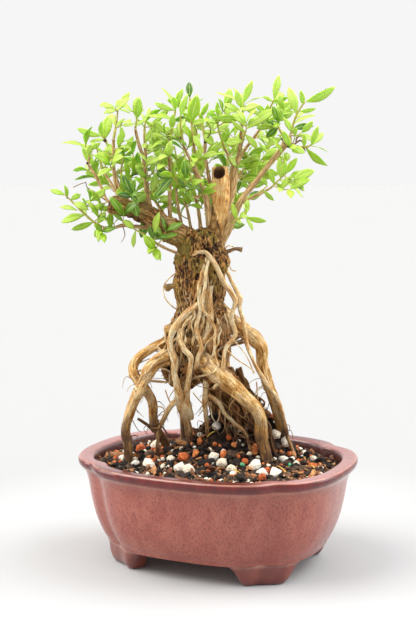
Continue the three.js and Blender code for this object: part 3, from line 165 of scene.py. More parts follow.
# Where leaves are seen to be dark, as across and up.
DARK_SPOTS = "-29 277, -8 273, -21 257, -20.5 344, 44 313, 52 312, -46 279, -44 281, -45.5 262, -44 243"
STEMS = [
    Stem(6, (2, 1.1), 1, 0.6, 3,
         """-42 241 -5, -52 241.5 -8, -61 242.5 -9, -68 243 -10, -75 241.2 -10, -82 241.5 -10, -88 245 -10,
         -94 250 -10, -100 256 -10, -105 261 -10, -109 265 -10""",
         """-109 264 -119.5 268 4, -108 262 -109.5 272 2.6, -104 262 -97.5 265 4.6, -102 260 -92 254 5.8,
         -100 253.5 -113 256 3.8, -95 250 -112 245 6.2, -98 257 -84 262 3, -89 245 -105 240 4,
         -84 242 -88 234.5 4, -84 241.5 -85.5 231 5, -86 244 -80 253 5.5"""),
    Stem(6, (1.4, 0.95), 2, 0.7, 3,
         "-70 257 -5, -79 261 -2, -83 270 0, -88 280 2, -92 286.5 3, -91.2 291 3, -92.5 296 3, -94 300 3",
         "-94 299 -94.5 305 3, -93 298 -112 301 4.2, -91.5 293 -90 300.5 5, -92 295 -83 301.5 4"),
    Stem(4, (1.3, 1), 2, 0.6, 3,
         "-68 257 -6, -76 273 4, -80 279 8, -82 283 9, -84 290 10, -86 298 10",
         "-82.5 284 -83 289.5 4.4, -82 284 -76.5 282.5 3, -84 290 -93 281.5 2.6, -86 296 -90 303 3"),
    Stem(5, (1.6, 1.2), 1, 0.8, 3,
         """-66 256 -8, -72.5 270 -9, -74 285 -10, -74 297 -10, -74 304 -10, -72.6 311 -10, -71.5 318 -10,
         -70.5 326 -10""",
         """-70 326 -62 337 4.2, -71 324 -81 327 3, -70.5 325 -62 322 2.4, -72 312 -65.5 318.5 2.8,
         -73 309 -72.8 321 4, -72 313 -76 322 5"""),
    Stem(4, (1.4, 1.1), 2, 0.7, 3,
         "-66 259 -4, -72 276 0, -75.5 290 2, -78 299 3, -80 304 3, -82 306.5 3",
         """-79.5 304 -77 321 7.5, -82 306 -100 311.5 3.8, -81 305 -92 307.5 3, -80 303 -91 302 3.2,
         -79 301 -71 290 5.6"""),
    Stem(3, (1.3, 1), 1, 0.55, 3,
         "-62 255 -6, -68 271 2, -69 279 6, -68 287 7, -67 294 8",
         """-68 282 -58 288.5 3.2, -68 280 -62.5 282 3, -68 286 -82 296 6.5, -67 292 -58.5 297 2,
         -67 294 -60 306.5 3.8"""),
    Stem(6, (2.4, 1.1), 1, 0.85, 3,
         """-47 250 -5, -50.5 266 -4, -51.5 282 -4, -53 291 -4, -56 300 -5, -58.6 311 -6, -57.5 317 -6,
         -57 321 -6""",
         "-57 318 -55.5 333.5 7, -57.5 319 -63 327 4, -58 315 -66 312.5 2.4, -58 313 -50 318 3"),
    Stem(3, (1.5, 1.2), 1, 0.7, 3,
         "-51.5 282 -4, -51.5 296 -1, -52 306 2, -52 312 3, -51 318 4",
         "-52 312 -44 321 3.2, -52 308 -59 302 2.6, -51.5 307 -43 303 3, -51 316 -48 326 3"),
    Stem(2, (1.4, 1.2), 0, 0.12, 0,
         "-56 252 -8, -59 257 -14, -61 262 -19, -61 268 -22",
         """-61 262 -63 277 7, -60 260 -51 266 8, -60 259 -57.5 249 6.4, -61 263 -72 265 4.6,
         -61 265 -68 273 5"""),
    Stem(5, (1.9, 1.2), 1, 0.75, 3,
         """-33 240 -3, -34.5 256 -4, -34 275 -6, -34.5 292 -8, -34.3 303 -9, -32.5 313 -10, -30.5 322 -10,
         -30 328 -10""",
         """-30.5 326 -40 340 3.4, -31 324 -45 329.5 3.6, -30 328 -24.5 339.5 4.6, -32 318 -50 320 4.8,
         -33 311 -31.5 322 5, -34 305 -41 313 3.4, -34 304 -49 296 3.4"""),
    Stem(4, (1.4, 1.1), 2, 0.6, 3,
         "-24 236 2, -28 254 4, -29.5 266 6, -30 276 8, -32 286 8, -35 294 8",
         "-33 290 -50 286 6.2, -30.5 280 -42 277 5.5, -34 293 -46 293.5 5, -34 294 -37 305 4"),
    Stem(3, (1.5, 1.1), 4, 0.6, 3,
         "-18 234 6, -21 250 12, -24 264 17, -27 276 21, -29 288 24, -31 299 26"),
    Stem(3, (1.2, 1.1), 1, 0.7, 3,
         "-17 284 -8, -20.5 291 -9, -24.5 299 -10, -25.5 306 -13, -26.5 314 -15, -26.5 321 -16",
         "-26.5 320 -21 336 5, -26 315 -47 315.5 4.8, -26 312 -16 305 5, -25 303 -32 312 5"),
    Stem(3, (1.2, 1.1), 0, 0.7, 3,
         "-17 284 -8, -16.5 293 -13, -17.5 303 -19, -18.5 313 -21, -19.5 323 -22, -20 333 -22",
         """-20 333 -20.5 344 5, -18.5 316 -14.5 335.5 9, -18.5 314 -9 317 4.4, -19.5 326 -27 333 3,
         -17.8 307 -12.5 297 4.6"""),
    Stem(4, (1.7, 1.3), 2, 0.7, 3,
         "-4 262 2, -7 280 6, -9.3 293 7, -9 303 8, -11 312 9, -13.5 321 10",
         "-12.5 319 -6.5 330 3.6, -10 308 -3 299 6, -10 310 -1 308 3.4, -13 320 -21 327 3.6"),
    Stem(3, (1.2, 0.9), 1, 0.45, 3,
         "-10 266 -5, -16 263 -10, -22 268 -15, -29 274 -19, -34 279 -21",
         """-23 268 -29 277 3.6, -23 268.5 -17 259 4, -31 276 -44 281 8, -32 277 -45.5 262 6.4,
         -29 274 -22 285 5"""),
    Stem(3, (1.5, 1.2), 1, 0.75, 3,
         "11.5 283 9, 8.5 290 10, 5 297 12, 2 305 12, 0 313 12, -0.5 321 12",
         "-0.5 320 -0.5 330.5 3.4, 4 300 -8 295 7, 3 302 8 312 6, 1 308 -7 318 6, 0 314 8 321 5"),
    Stem(4, (2, 1.3), 1, 0.8, 3,
         "11.5 282 9, 15 295 6, 16.5 308 2, 17 317 -1, 17.5 324 -3, 17.8 330 -4",
         """17.8 329 24.5 345.5 5.4, 17.5 329 9 340.5 2.4, 17.5 327 -2 336.5 4.2, 17.2 321 4 329 5,
         17.6 327 29 321 5.2, 17 319 -4 319.5 4.4"""),
    Stem(4, (1.5, 1.1), 1, 0.8, 3,
         "12 284 9, 20 298 12, 27 307 13, 32 315 12, 36 324 10, 39.5 332 9",
         """39.5 332 43 349 5.6, 39 331 46 336 8, 38.5 330 31 334 3, 33 318 35.5 329 4, 39 330 50 333.5 2.4,
         35 321 25 329 4"""),
    Stem(2, (1.2, 1), 0, 0.9, 0,
         "15.2 296 6, 17 301 -4, 18.5 306 -12, 20 311 -16",
         "20 311 41 325 7.6, 19.5 309 9.5 317 3, 18.1 304.8 11 297 3, 19 307.4 28 297 5, 17.5 303 5 301 7"),
    Stem(2, (1.2, 1.2), 0, 0.85, 1,
         "49.5 303 -13, 51.5 307 -13, 53 314 -13, 55.5 321 -13, 59 327 -13, 61.5 330 -13",
         """55.5 321 49.5 340.5 7, 60 328 58 338.5 4, 61.5 330 83 341 4.8, 57 323.5 69.5 325.5 2.2,
         53.5 314 69.5 320.5 4, 52.5 311 68 313 5, 52.5 309 46 319 4.6"""),
    Stem(3, (1.4, 1.39), 0, 0.75, 1,
         "49.5 302 -13, 54 298.5 -16, 58.5 298 -18, 63 298.5 -19, 66.5 300 -19",
         """66 300 71 313.5 4.4, 65.5 299.5 75 308.5 5.2, 65 299 78.5 294.5 2.2, 62 298 78 285 3,
         60 298 55 289 3, 61 298 61 308 3.4"""),
    Stem(4, (1.2, 0.9), 0, 0.7, 1,
         "16 259 -9, 24 262.5 -14, 33 267 -18, 38 270 -20, 43 275 -21, 48.5 280 -21",
         """44.5 276.5 43.5 291.5 5.4, 46.5 278 48 289.5 4, 48.5 280 56.5 291 5, 43 275 57 271 3.6,
         43.5 275.5 61 262.5 4.2, 41 273 47 268 3.4, 40 272 36 283 4"""),
    Stem(2, (0.9, 0.8), 0, 0.55, 0,
         "23 262 -13.4, 28 265.5 -19, 31.5 268 -23, 35 271 -26",
         "32 268.4 40 260.5 2.8, 31 267.7 24.5 270.5 3, 35 271 30.5 277 3.6"),
    Stem(2, (1.2, 0.9), 0, 0.75, 0,
         "6 238 -5, 9.5 244 -11, 14 247.5 -16, 20 249 -19",
         "20 249 35 246 3.2, 19.5 249 25 239 3.2, 15 248 21 253 4, 13 247 10 259 4.4"),
    Stem(3, (1.2, 1), 2, 0.6, 3,
         "11 272 9, 17 281 15, 23 286 20, 29 288 24, 34 293 27",
         "26 287 25.5 277 4.8, 30 289 33 280 4.6, 33 292 42 297 5, 29 288.5 27 297 5"),
    Stem(2, (1.2, 1), 1, 0.5, 3,
         "49 302 -12, 45.5 307 -7, 43 312 -3, 42 317 0",
         "42 316 53 322 4, 43 312 34 305 5.4, 42.5 314 36 316 4.4"),
    Stem(3, (1.3, 1.1), 0, 0.6, 0,
         "-26 222 -8, -36 226 -14, -43 229.5 -15, -50 234.5 -15, -57 239 -16, -60 240.5 -16",
         """-44 230 -50 222.5 4.6, -47 232 -44 243 6.6, -59 240 -65.5 239 3.6, -58.5 239.5 -60.5 227 3.6,
         -60 240.5 -68 247 5"""),
    Stem(3, (1.9, 1.2), 4, 0.6, 3,
         "-12 238 10, -14 254 22, -18 272 32, -23 290 40, -26 306 44"),
    Stem(3, (1.9, 1.2), 4, 0.6, 3,
         "-2 240 8, 2 256 20, 5 275 31, 7 293 38, 8 309 42"),
    Stem(3, (1.7, 1.2), 4, 0.6, 3,
         "4 242 6, 13 256 18, 24 273 29, 33 290 36, 39 306 40"),
    Stem(3, (1.7, 1.2), 4, 0.6, 3,
         "-28 238 2, -38 250 16, -48 266 28, -56 281 35, -61 295 39"),
    Stem(3, (1.5, 1), 3, 0.6, 3,
         "-50 250 0, -60 258 11, -72 268 20, -84 276 25, -94 283 27"),
]


# Shapes worked out on arrays


def rows(text: str) -> list[list[float]]:
    """A table written as text, as rows of numbers."""
    return [[float(word) for word in row.split()] for row in text.split(",") if row.strip()]


@dataclass(frozen=True)
class Layout:
    """The eye that the plant is laid out from, and its turn from the pot's short side."""

    across: float = -7.1
    up: float = 275.5
    distance: float = 857.5
    turn: float = math.radians(24.7)

    def turned(self, across: Array | float, up: Array | float, behind: Array | float) -> Array:
        """Directions of the layout, in the pot's frame."""
        c, s = math.cos(self.turn), math.sin(self.turn)
        return np.stack([across * c - behind * s, across * s + behind * c, up], -1)

    def place(self, points: Sequence | Array) -> Array:
        """Layout points in the pot's frame. The sight line through a point stays the same at any depth.

        Args:
            points: rows of across, up and behind in millimetres.

        Returns:
            The same points as rows of x, y, z in millimetres.
        """
        across, up, behind = np.atleast_2d(np.asarray(points, float)).T
        reach = 1 + behind / self.distance
        u = self.across + (across - self.across) * reach
        return self.turned(u, self.up + (up - self.up) * reach, behind)

    def depth(self, x: Array | float, y: Array | float) -> Array | float:
        """How far places lie behind the layout's plane."""
        return y * math.cos(self.turn) - x * math.sin(self.turn)

    def seen(self, points: Array) -> Array:
        """Where rows of x, y, z are seen from the eye, as across, up and behind.

        Args:
            points: rows of x, y, z.

        Returns:
            Rows of across, up and behind.
        """
        x, y, z = points.T
        behind = self.depth(x, y)
        reach = 1 + behind / self.distance
        u = x * math.cos(self.turn) + y * math.sin(self.turn)
        return np.stack([self.across + (u - self.across) / reach, self.up + (z - self.up) / reach, behind], 1)

    def eye(self) -> Array:
        """The eye's place in the pot's frame, in millimetres."""
        return self.turned(self.across, self.up, -self.distance)


LAYOUT = Layout()


def unit(vectors: Array) -> Array:
    """The vectors scaled to length one."""
    return vectors / np.maximum(np.linalg.norm(vectors, axis=-1, keepdims=True), 1e-12)


def turn_about(vector: Array, axis: Array, angle: float) -> Array:
    """The vector turned about the axis by the angle, in radians."""
    c, s = math.cos(angle), math.sin(angle)
    return vector * c + np.cross(axis, vector) * s + axis * (axis @ vector) * (1 - c)


def run_of(points: Array) -> Array:
    """The distance along a line at each of its points."""
    return np.append(0, np.cumsum(np.linalg.norm(np.diff(points, axis=0), axis=1)))


def lattice_noise(points: Array, seed: int) -> Array:
    """Smooth noise from -1 to 1: a hashed value at each whole-number corner, blended by a smooth step.

    Args:
        points: rows of three coordinates.
        seed: picks another noise.

    Returns:
        One value for each row.
    """
    cell = np.floor(points).astype(np.int64)
    part = points - cell
    part = part * part * (3 - 2 * part)
    total = np.zeros(len(points))
    for corner in product((0, 1), repeat=3):
        at = cell + np.array(corner)
        code = (at[:, 0] * 73856093) ^ (at[:, 1] * 19349663) ^ (at[:, 2] * 83492791) ^ (seed * 40503)
        code = (code ^ (code >> 13)) * 1274126177
        value = ((code >> 7) & 0xFFFF) / 32767.5 - 1
        total += value * np.prod(np.where(np.array(corner) == 1, part, 1 - part), axis=1)
    return total


def layered_noise(points: Array, seed: int, layers: int = 3) -> Array:
    """Noise summed over layers, each twice as fine and half as strong as the last.

    Args:
        points: rows of three coordinates.
        seed: picks another noise.
        layers: how many there are.

    Returns:
        One value for each row.
    """
    total = np.zeros(len(points))
    for layer in range(layers):
        total += lattice_noise(points * 2**layer + 17.3 * layer, seed + layer) / 2**layer
    return total


def smooth_line(controls: Sequence | Array, step: float) -> Array:
    """A smooth curve: a cubic between neighbouring controls, its slopes taken from the points about them.

    Args:
        controls: rows that start with x, y, z. Further numbers are blended evenly.
        step: the spacing wanted along the curve, in millimetres.

    Returns:
        Rows like the controls, about evenly spaced.
    """
    given = np.asarray(controls, float)
    at = given[:, :3]
    around = np.vstack([2 * at[0] - at[1], at, 2 * at[-1] - at[-2]])
    gaps = np.maximum(np.linalg.norm(np.diff(around, axis=0), axis=1) ** 0.5, 1e-4)[:, None]
    d0, d1, d2 = gaps[:-2], gaps[1:-1], gaps[2:]
    p0, p1, p2, p3 = around[:-3], around[1:-2], around[2:-1], around[3:]
    t1 = ((p1 - p0) / d0 - (p2 - p0) / (d0 + d1) + (p2 - p1) / d1) * d1
    t2 = ((p2 - p1) / d1 - (p3 - p1) / (d1 + d2) + (p3 - p2) / d2) * d1
    fine = np.linspace(0, 1, 16, endpoint=False)
    share = fine[None, :, None]
    a, b = 2 * (p1 - p2) + t1 + t2, 3 * (p2 - p1) - 2 * t1 - t2
    curve = ((a[:, None] * share + b[:, None]) * share + t1[:, None]) * share + p1[:, None]
    curve = np.vstack([curve.reshape(-1, 3), at[-1:]])
    number = np.append((np.arange(len(at) - 1)[:, None] + fine).ravel(), len(at) - 1)
    length = run_of(curve)
    wanted = np.linspace(0, length[-1], max(2, int(round(length[-1] / step)) + 1))
    along = np.interp(wanted, length, number)
    columns = [np.interp(wanted, length, column) for column in curve.T]
    columns += [np.interp(along, np.arange(len(at)), column) for column in given[:, 3:].T]
    return np.stack(columns, 1)


def laid_line(controls: str, step: float) -> Array:
    """A smooth line through layout controls, in the pot's frame, as rows of x, y, z, radius."""
    given = np.array(rows(controls))
    return smooth_line(np.hstack([LAYOUT.place(given[:, :3]), given[:, 3:]]), step)


def carried_frames(points: Array) -> tuple[Array, Array]:
    """Two directions square to a line at each point, carried along it without twisting.

    Args:
        points: rows of x, y, z.

    Returns:
        Rows of the first direction and of the second.
    """
    heading = unit(np.gradient(points, axis=0))
    side = np.array([0.0, 1.0, 0.0]) if abs(heading[0, 0]) > 0.9 else np.array([1.0, 0.0, 0.0])
    sides = np.empty_like(points)
    for index, ahead in enumerate(heading):
        side = unit(side - ahead * (side @ ahead))
        sides[index] = side
    return sides, np.cross(heading, sides)


def shell_faces(rings: int, sides: int) -> list[Array]:
    """Faces of closed rings of points, one after another, closed onto two points that follow them.

    Args:
        rings: how many rings there are.
        sides: points in a ring.

    Returns:
        Quads between neighbouring rings, and the triangles at the first ring and at the last.
    """
    total = rings * sides
    start = np.arange(0, total - sides, sides)[:, None]
    corner = np.arange(sides)
    after = (corner + 1) % sides
    quads = np.stack([start + corner, start + after, start + sides + after, start + sides + corner], -1)
    low = np.stack([np.full(sides, total), after, corner], 1)
    high = np.stack([np.full(sides, total + 1), total - sides + corner, total - sides + after], 1)
    return [quads.reshape(-1, 4), low, high]


def paint(mesh: bpy.types.Mesh, name: str, values: Array) -> None:
    """Gives a mesh a value or a vector at each point, for its finish to read.

    Args:
        mesh: the mesh.
        name: the value's name.
        values: a number or a row of three for each point.
    """
    kind, label = ("FLOAT_VECTOR", "vector") if values.ndim == 2 else ("FLOAT", "value")
    layer = mesh.attributes.get(name) or mesh.attributes.new(name, kind, "POINT")
    layer.data.foreach_set(label, values.ravel())


def points_of(mesh: bpy.types.Mesh) -> Array:
    """A mesh's points in millimetres about the pot's middle.

    Args:
        mesh: the mesh.

    Returns:
        Rows of x, y, z.
    """
    points = np.empty(len(mesh.vertices) * 3)
    mesh.vertices.foreach_get("co", points)
    return (points.reshape(-1, 3) - POT_MIDDLE) / MM


def remade(piece: Piece, kind: str, **settings: object) -> bpy.types.Mesh:
    """Puts a modifier's result in place of a piece's mesh.

    Args:
        piece: the piece.
        kind: the modifier's type.
        settings: its properties.

    Returns:
        The new mesh.
    """
    modifier = piece.modifiers.new(kind, kind)
    for key, value in settings.items():
        setattr(modifier, key, value)
    graph = bpy.context.evaluated_depsgraph_get()
    made = bpy.data.meshes.new_from_object(piece.evaluated_get(graph))
    piece.modifiers.clear()
    old, piece.data = piece.data, made
    bpy.data.meshes.remove(old)
    return made


def cut_away(piece: Piece, cutter: Piece) -> bpy.types.Mesh:
    """Cuts a closed shape out of a piece and removes the cutter.

    Args:
        piece: the piece.
        cutter: the closed shape.

    Returns:
        The piece's new mesh.
    """
    made = remade(piece, "BOOLEAN", operation="DIFFERENCE", solver="EXACT", object=cutter)
    bpy.data.objects.remove(cutter)
    return made


@dataclass
class Surface:
    """A piece being made: points in millimetres, faces, and values that its finish reads."""

    points: list[Array] = field(default_factory=list)
    faces: list[list[int]] = field(default_factory=list)
    values: dict[str, list[Array]] = field(default_factory=dict)
    count: int = 0

    def add(self, points: Array, faces: Sequence[Array], **values: Array | float) -> None:
        """Adds a patch.

        Args:
            points: rows of x, y, z in millimetres.
            faces: arrays of quads or triangles that count from this patch's first point.
            values: numbers or rows for each point, or one number for all of them.
        """
        for name, value in values.items():
            given = np.asarray(value, float)
            self.values.setdefault(name, []).append(given if given.ndim else np.full(len(points), given))
        self.points.append(points)
        for face in faces:
            self.faces += (face + self.count).tolist()
        self.count += len(points)

    def add_shell(self, shell: Array, ends: Sequence, **values: Array | float) -> None:
        """Adds a closed shell.

        Args:
            shell: the points of each ring, as an array of rings, sides and axes.
            ends: the points that close the first ring and the last.
            values: as in a patch, in the order of the shell's points and its ends.
        """
        self.add(np.vstack([shell.reshape(-1, 3), *ends]), shell_faces(*shell.shape[:2]), **values)

    def piece(self, name: str) -> Piece:
        """The patches as a new object in the scene, with its mesh in metres.

        Args:
            name: the object's name.

        Returns:
            The object.
        """
        mesh = bpy.data.meshes.new(name)
        mesh.from_pydata((np.vstack(self.points) * MM + POT_MIDDLE).tolist(), [], self.faces)
        for key, parts in self.values.items():
            paint(mesh, key, np.concatenate(parts))
        mesh.shade_smooth()
        mesh.update()
        made = bpy.data.objects.new(name, mesh)
        bpy.context.scene.collection.objects.link(made)
        return made


def add_tube(
    surface: Surface, line: Array, sides: int, relief: Relief | None = None, key: float = 0.0, **values: float
) -> None:
    """Adds a round tube: a circle carried along the line, its radius raised or lowered by the relief.

    Args:
        surface: what it is added to.
        line: rows of x, y, z, radius in millimetres.
        sides: points round the section.
        relief: gives the height in millimetres from the grain coordinates and the radius.
        key: sets this tube's pattern apart from others.
        values: further values for the finish.
    """
    points, radius = line[:, :3], line[:, 3]
    side, other = carried_frames(points)
    angle = np.linspace(0, 2 * np.pi, sides, endpoint=False)
    c, s = np.cos(angle), np.sin(angle)
    across = [radius[:, None] * c, radius[:, None] * s, run_of(points)[:, None]]
    grain = np.stack(np.broadcast_arrays(*across), -1).reshape(-1, 3) + key * GRAIN_STEP
    rounds = np.repeat(radius, sides)
    height = relief(grain, rounds) if relief else np.zeros(len(grain))
    ring = side[:, None] * c[:, None] + other[:, None] * s[:, None]
    shell = points[:, None] + ring * (rounds + height).reshape(-1, sides, 1)
    surface.add_shell(shell, [points[0], points[-1]], grain=np.vstack([grain, grain[0], grain[-1]]),
                      height=np.append(height, [0, 0]), **values)


# Finishes


Tree = bpy.types.NodeTree
Colour = tuple[float, float, float, float]


def tint(red: float, green: float, blue: float) -> Colour:
    """A colour given as screen values from 0 to 255, as the linear values that a shader takes.

    Args:
        red: screen value of red.
        green: of green.
        blue: of blue.

    Returns:
        The linear values, with full cover.
    """
    values = np.array([red, green, blue]) / 255
    linear = np.where(values <= 0.04045, values / 12.92, ((values + 0.055) / 1.055) ** 2.4)
    return (*[float(value) for value in linear], 1.0)


@dataclass(frozen=True)
class Value:
    """What a node gives out. A sum on it, a pattern over it or a mix by it is a further node."""

    tree: Tree
    socket: bpy.types.NodeSocket

    def sister(self, number: int) -> "Value":
        """Another output of the same node."""
        return Value(self.tree, self.socket.node.outputs[number])

    def sum(self, kind: str, *terms: "Value | float") -> "Value":
        """A sum of the named kind on one or two terms."""
        return node(self.tree, "ShaderNodeMath", {"operation": kind}, dict(enumerate(terms)))

    def __add__(self, other: "Value | float") -> "Value":
        """This value and the other added up."""
        return self.sum("ADD", self, other)

    def __sub__(self, other: "Value | float") -> "Value":
        """This value less the other."""
        return self.sum("SUBTRACT", self, other)

    def __rsub__(self, other: float) -> "Value":
        """A number less this value."""
        return self.sum("SUBTRACT", other, self)

    def __mul__(self, other: "Value | float") -> "Value":
        """This value times the other."""
        return self.sum("MULTIPLY", self, other)

    def __abs__(self) -> "Value":
        """This value without its sign."""
        return self.sum("ABSOLUTE", self)

    def mix(self, low: "Value | Colour", high: "Value | Colour") -> "Value":
        """Two colours mixed, with this value as the share of the second."""
        return node(self.tree, "ShaderNodeMix", {"data_type": "RGBA"}, {0: self, 6: low, 7: high}, 2)

    def spread(self, low: float, high: float, start: float = 0.0, end: float = 1.0) -> "Value":
        """This value taken smoothly from the range low to high into start to end."""
        return node(self.tree, "ShaderNodeMapRange", {"interpolation_type": "SMOOTHSTEP"}, {
            "Value": self, "From Min": low, "From Max": high, "To Min": start, "To Max": end})

    def ramp(self, *stops: tuple[float, Colour]) -> "Value":
        """A colour read off a ramp of stops.

        Args:
            stops: the place and the colour of each.

        Returns:
            The colour.
        """
        made = node(self.tree, "ShaderNodeValToRGB", {}, {"Fac": self})
        band = made.socket.node.color_ramp.elements
        while len(band) < len(stops):
            band.new(0.5)
        for element, (at, colour) in zip(band, stops):
            element.position, element.color = at, colour
        return made

    def noise(self, scale: "Value", detail: float, distortion: float = 0.0) -> "Value":
        """The strength of a noise pattern over these coordinates."""
        return node(self.tree, "ShaderNodeTexNoise", {}, {
            "Vector": self, "Scale": scale, "Detail": detail, "Distortion": distortion})

    def stretched(self, *scale: float) -> "Value":
        """These coordinates scaled along each axis."""
        return node(self.tree, "ShaderNodeMapping", {}, {"Vector": self, "Scale": scale})

    def parts(self) -> tuple["Value", "Value", "Value"]:
        """The three numbers of a vector."""
        first = node(self.tree, "ShaderNodeSeparateXYZ", {}, {0: self})
        return first, first.sister(1), first.sister(2)

    def effect(self, group: Tree, first: float, second: float) -> tuple["Value", "Value"]:
        """The two masks of a shared effect over these coordinates, at two scales."""
        mask = node(self.tree, "ShaderNodeGroup", {"node_tree": group}, {0: self, 1: first, 2: second})
        return mask, mask.sister(1)

    def bump(self, reach: float) -> "Value":
        """The normal over this height, which stands for a reach in metres."""
        return node(self.tree, "ShaderNodeBump", {}, {"Height": self, "Distance": reach, "Strength": 1.0})


def feed(socket: bpy.types.NodeSocket, value: object) -> None:
    """Links a value to an input, or sets the input to a plain number, colour or vector.

    Args:
        socket: the input.
        value: what it takes.
    """
    if isinstance(value, Value):
        value.tree.links.new(value.socket, socket)
    else:
        socket.default_value = value


def node(
    tree: Tree, kind: str, settings: dict[str, object], inputs: dict[str | int, object], out: str | int = 0
) -> Value:
    """Adds a node to a material or a group.

    Args:
        tree: the material's or the group's nodes.
        kind: the node's type.
        settings: its properties.
        inputs: its inputs' names or numbers, to plain values or other nodes' values.
        out: the name or number of the output wanted.

    Returns:
        That output.
    """
    made = tree.nodes.new(kind)
    for key, value in settings.items():
        setattr(made, key, value)
    for key, value in inputs.items():
        feed(made.inputs[key], value)
    return Value(tree, made.outputs[out])


def carried(tree: Tree, name: str, out: str = "Fac") -> Value:
    """A value that a piece carries, or a vector where that output is asked for."""
    return node(tree, "ShaderNodeAttribute", {"attribute_name": name}, {}, out)


def place_of(tree: Tree) -> Value:
    """Object coordinates."""
    return node(tree, "ShaderNodeTexCoord", {}, {}, "Object")


def shared_effect(
    name: str, labels: Sequence[str], draw: Callable[[Value, Value, Value], tuple[Value, Value]]
) -> Tree:
    """A node group that finishes share: it reads coordinates and two scales, and gives two masks.

    Args:
        name: the group's name.
        labels: the names of the coordinates and of the two patterns.
        draw: makes the masks from the group's inputs.

    Returns:
        The group.
    """
    group = bpy.data.node_groups.new(name, "ShaderNodeTree")
    for label, kind in zip(labels, ("Vector", "Float", "Float")):
        group.interface.new_socket(label, in_out="INPUT", socket_type=f"NodeSocket{kind}")
    for label in labels[1:]:
        group.interface.new_socket(label, in_out="OUTPUT", socket_type="NodeSocketFloat")
    enter = group.nodes.new("NodeGroupInput")
    leave = group.nodes.new("NodeGroupOutput")
    for socket, mask in zip(leave.inputs, draw(*[Value(group, enter.outputs[order]) for order in range(3)])):
        feed(socket, mask)
    return group


def speckle(at: Value, spots: Value, mottle: Value) -> tuple[Value, Value]:
    """Small spots over a broad mottle: the spots' mask and the mottle."""
    fine, broad = at.noise(spots, 2.0), at.noise(mottle, 4.0)
    return fine.spread(0.5, 0.64), broad.spread(0.33, 0.67)


def furrow(grain: Value, cracks: Value, fibres: Value) -> tuple[Value, Value]:
    """Long cracks and fibres that run along a stem: the cracks' mask and the fibres.

    Args:
        grain: coordinates that run along the stem.
        cracks: the cracks' scale.
        fibres: the fibres' scale.

    Returns:
        The cracks' mask and the fibres.
    """
    broken = grain.stretched(1, 1, 0.16).noise(cracks, 4.0, 0.6)
    threads = grain.stretched(1, 1, 0.07).noise(fibres, 5.0)
    return abs(broken - 0.5).spread(0.0, 0.09, 1.0, 0.0), threads.spread(0.3, 0.7)


SPECKLE = shared_effect("speckle", ("Vector", "Spots", "Mottle"), speckle)
FURROW = shared_effect("furrow", ("Grain", "Cracks", "Fibres"), furrow)


@dataclass(frozen=True)
class Finish:
    """A finish: its name, and the plain numbers of its shader."""

    name: str
    roughness: float = 0.6
    specular: float = 0.5

    def look(self, tree: Tree) -> dict[str, object]:
        """What the shader's inputs take, by their names."""
        raise NotImplementedError

    def material(self) -> bpy.types.Material:
        """The finish as a material."""
        material = bpy.data.materials.new(self.name)
        material.use_nodes = True
        tree = material.node_tree
        inputs = {"Roughness": self.roughness, "Specular IOR Level": self.specular, **self.look(tree)}
        for key, value in inputs.items():
            feed(tree.nodes["Principled BSDF"].inputs[key], value)
        return material


@dataclass(frozen=True)
class GlazeFinish(Finish):
    """A mottled red-brown glaze: thick and dark on the lip, with pale lines on its edges painted as
    highlights where the glaze also thins.
    """

    body: Colour = tint(141, 62, 48)
    body_dark: Colour = tint(96, 28, 20)
    body_pale: Colour = tint(158, 84, 66)
    fleck: Colour = tint(176, 116, 98)
    lip: Colour = tint(80, 8, 4)
    lip_pale: Colour = tint(104, 18, 11)
    rim: Colour = tint(156, 98, 92)
    rim_end: Colour = tint(92, 22, 16)
    # painted highlight: the pale colour of the lines along the rounded edges, where the glaze also thins
    edge: Colour = tint(186, 138, 114)
    inside: Colour = tint(84, 46, 44)
    inside_spot: Colour = tint(82, 42, 46)
    foot: Colour = tint(96, 36, 28)
    foot_pale: Colour = tint(118, 54, 42)

    def look(self, tree: Tree) -> dict[str, object]:
        """Mottle and spots over zones that the pot carries: lip, rim, edge (a painted highlight), inside and
        foot.

        Args:
            tree: the material's nodes.

        Returns:
            The inputs' values by their names.
        """
        at, lip = place_of(tree), carried(tree, "lip")
        spots, mottle = at.stretched(1, 1, 0.4).effect(SPECKLE, 1000.0, 130.0)
        fine, cloud = at.effect(SPECKLE, 2100.0, 22.0)
        colour = mottle.mix(self.body, self.body_pale)
        colour = (cloud * 0.4).mix(colour, self.body)
        colour = (spots * 0.6).mix(colour, self.body_dark)
        colour = (fine * 0.3).mix(colour, self.fleck)
        colour = carried(tree, "inside").mix(colour, spots.mix(self.inside, self.inside_spot))
        colour = carried(tree, "foot").mix(colour, mottle.mix(self.foot, self.foot_pale))
        rim = abs(at.parts()[1]).spread(0.058, 0.078).mix(self.rim, self.rim_end)
        colour = carried(tree, "rim").mix(colour, (spots * 0.6).mix(rim, self.lip))
        colour = lip.mix(colour, mottle.mix(self.lip, self.lip_pale))
        # painted highlight along the rounded edges, broken up by the mottle
        ragged_edge_highlight = carried(tree, "edge") * mottle.spread(0.0, 0.8, 0.55, 1.0)
        return {
            "Base Color": ragged_edge_highlight.mix(colour, self.edge),
            "Roughness": spots * 0.08 + 0.32 - lip * 0.2,
            "Coat Weight": lip.spread(0.2, 0.9, 0.6, 0.3),
            "Coat Roughness": 0.12,
            "Normal": (mottle + fine * 0.3).bump(0.00014),
        }


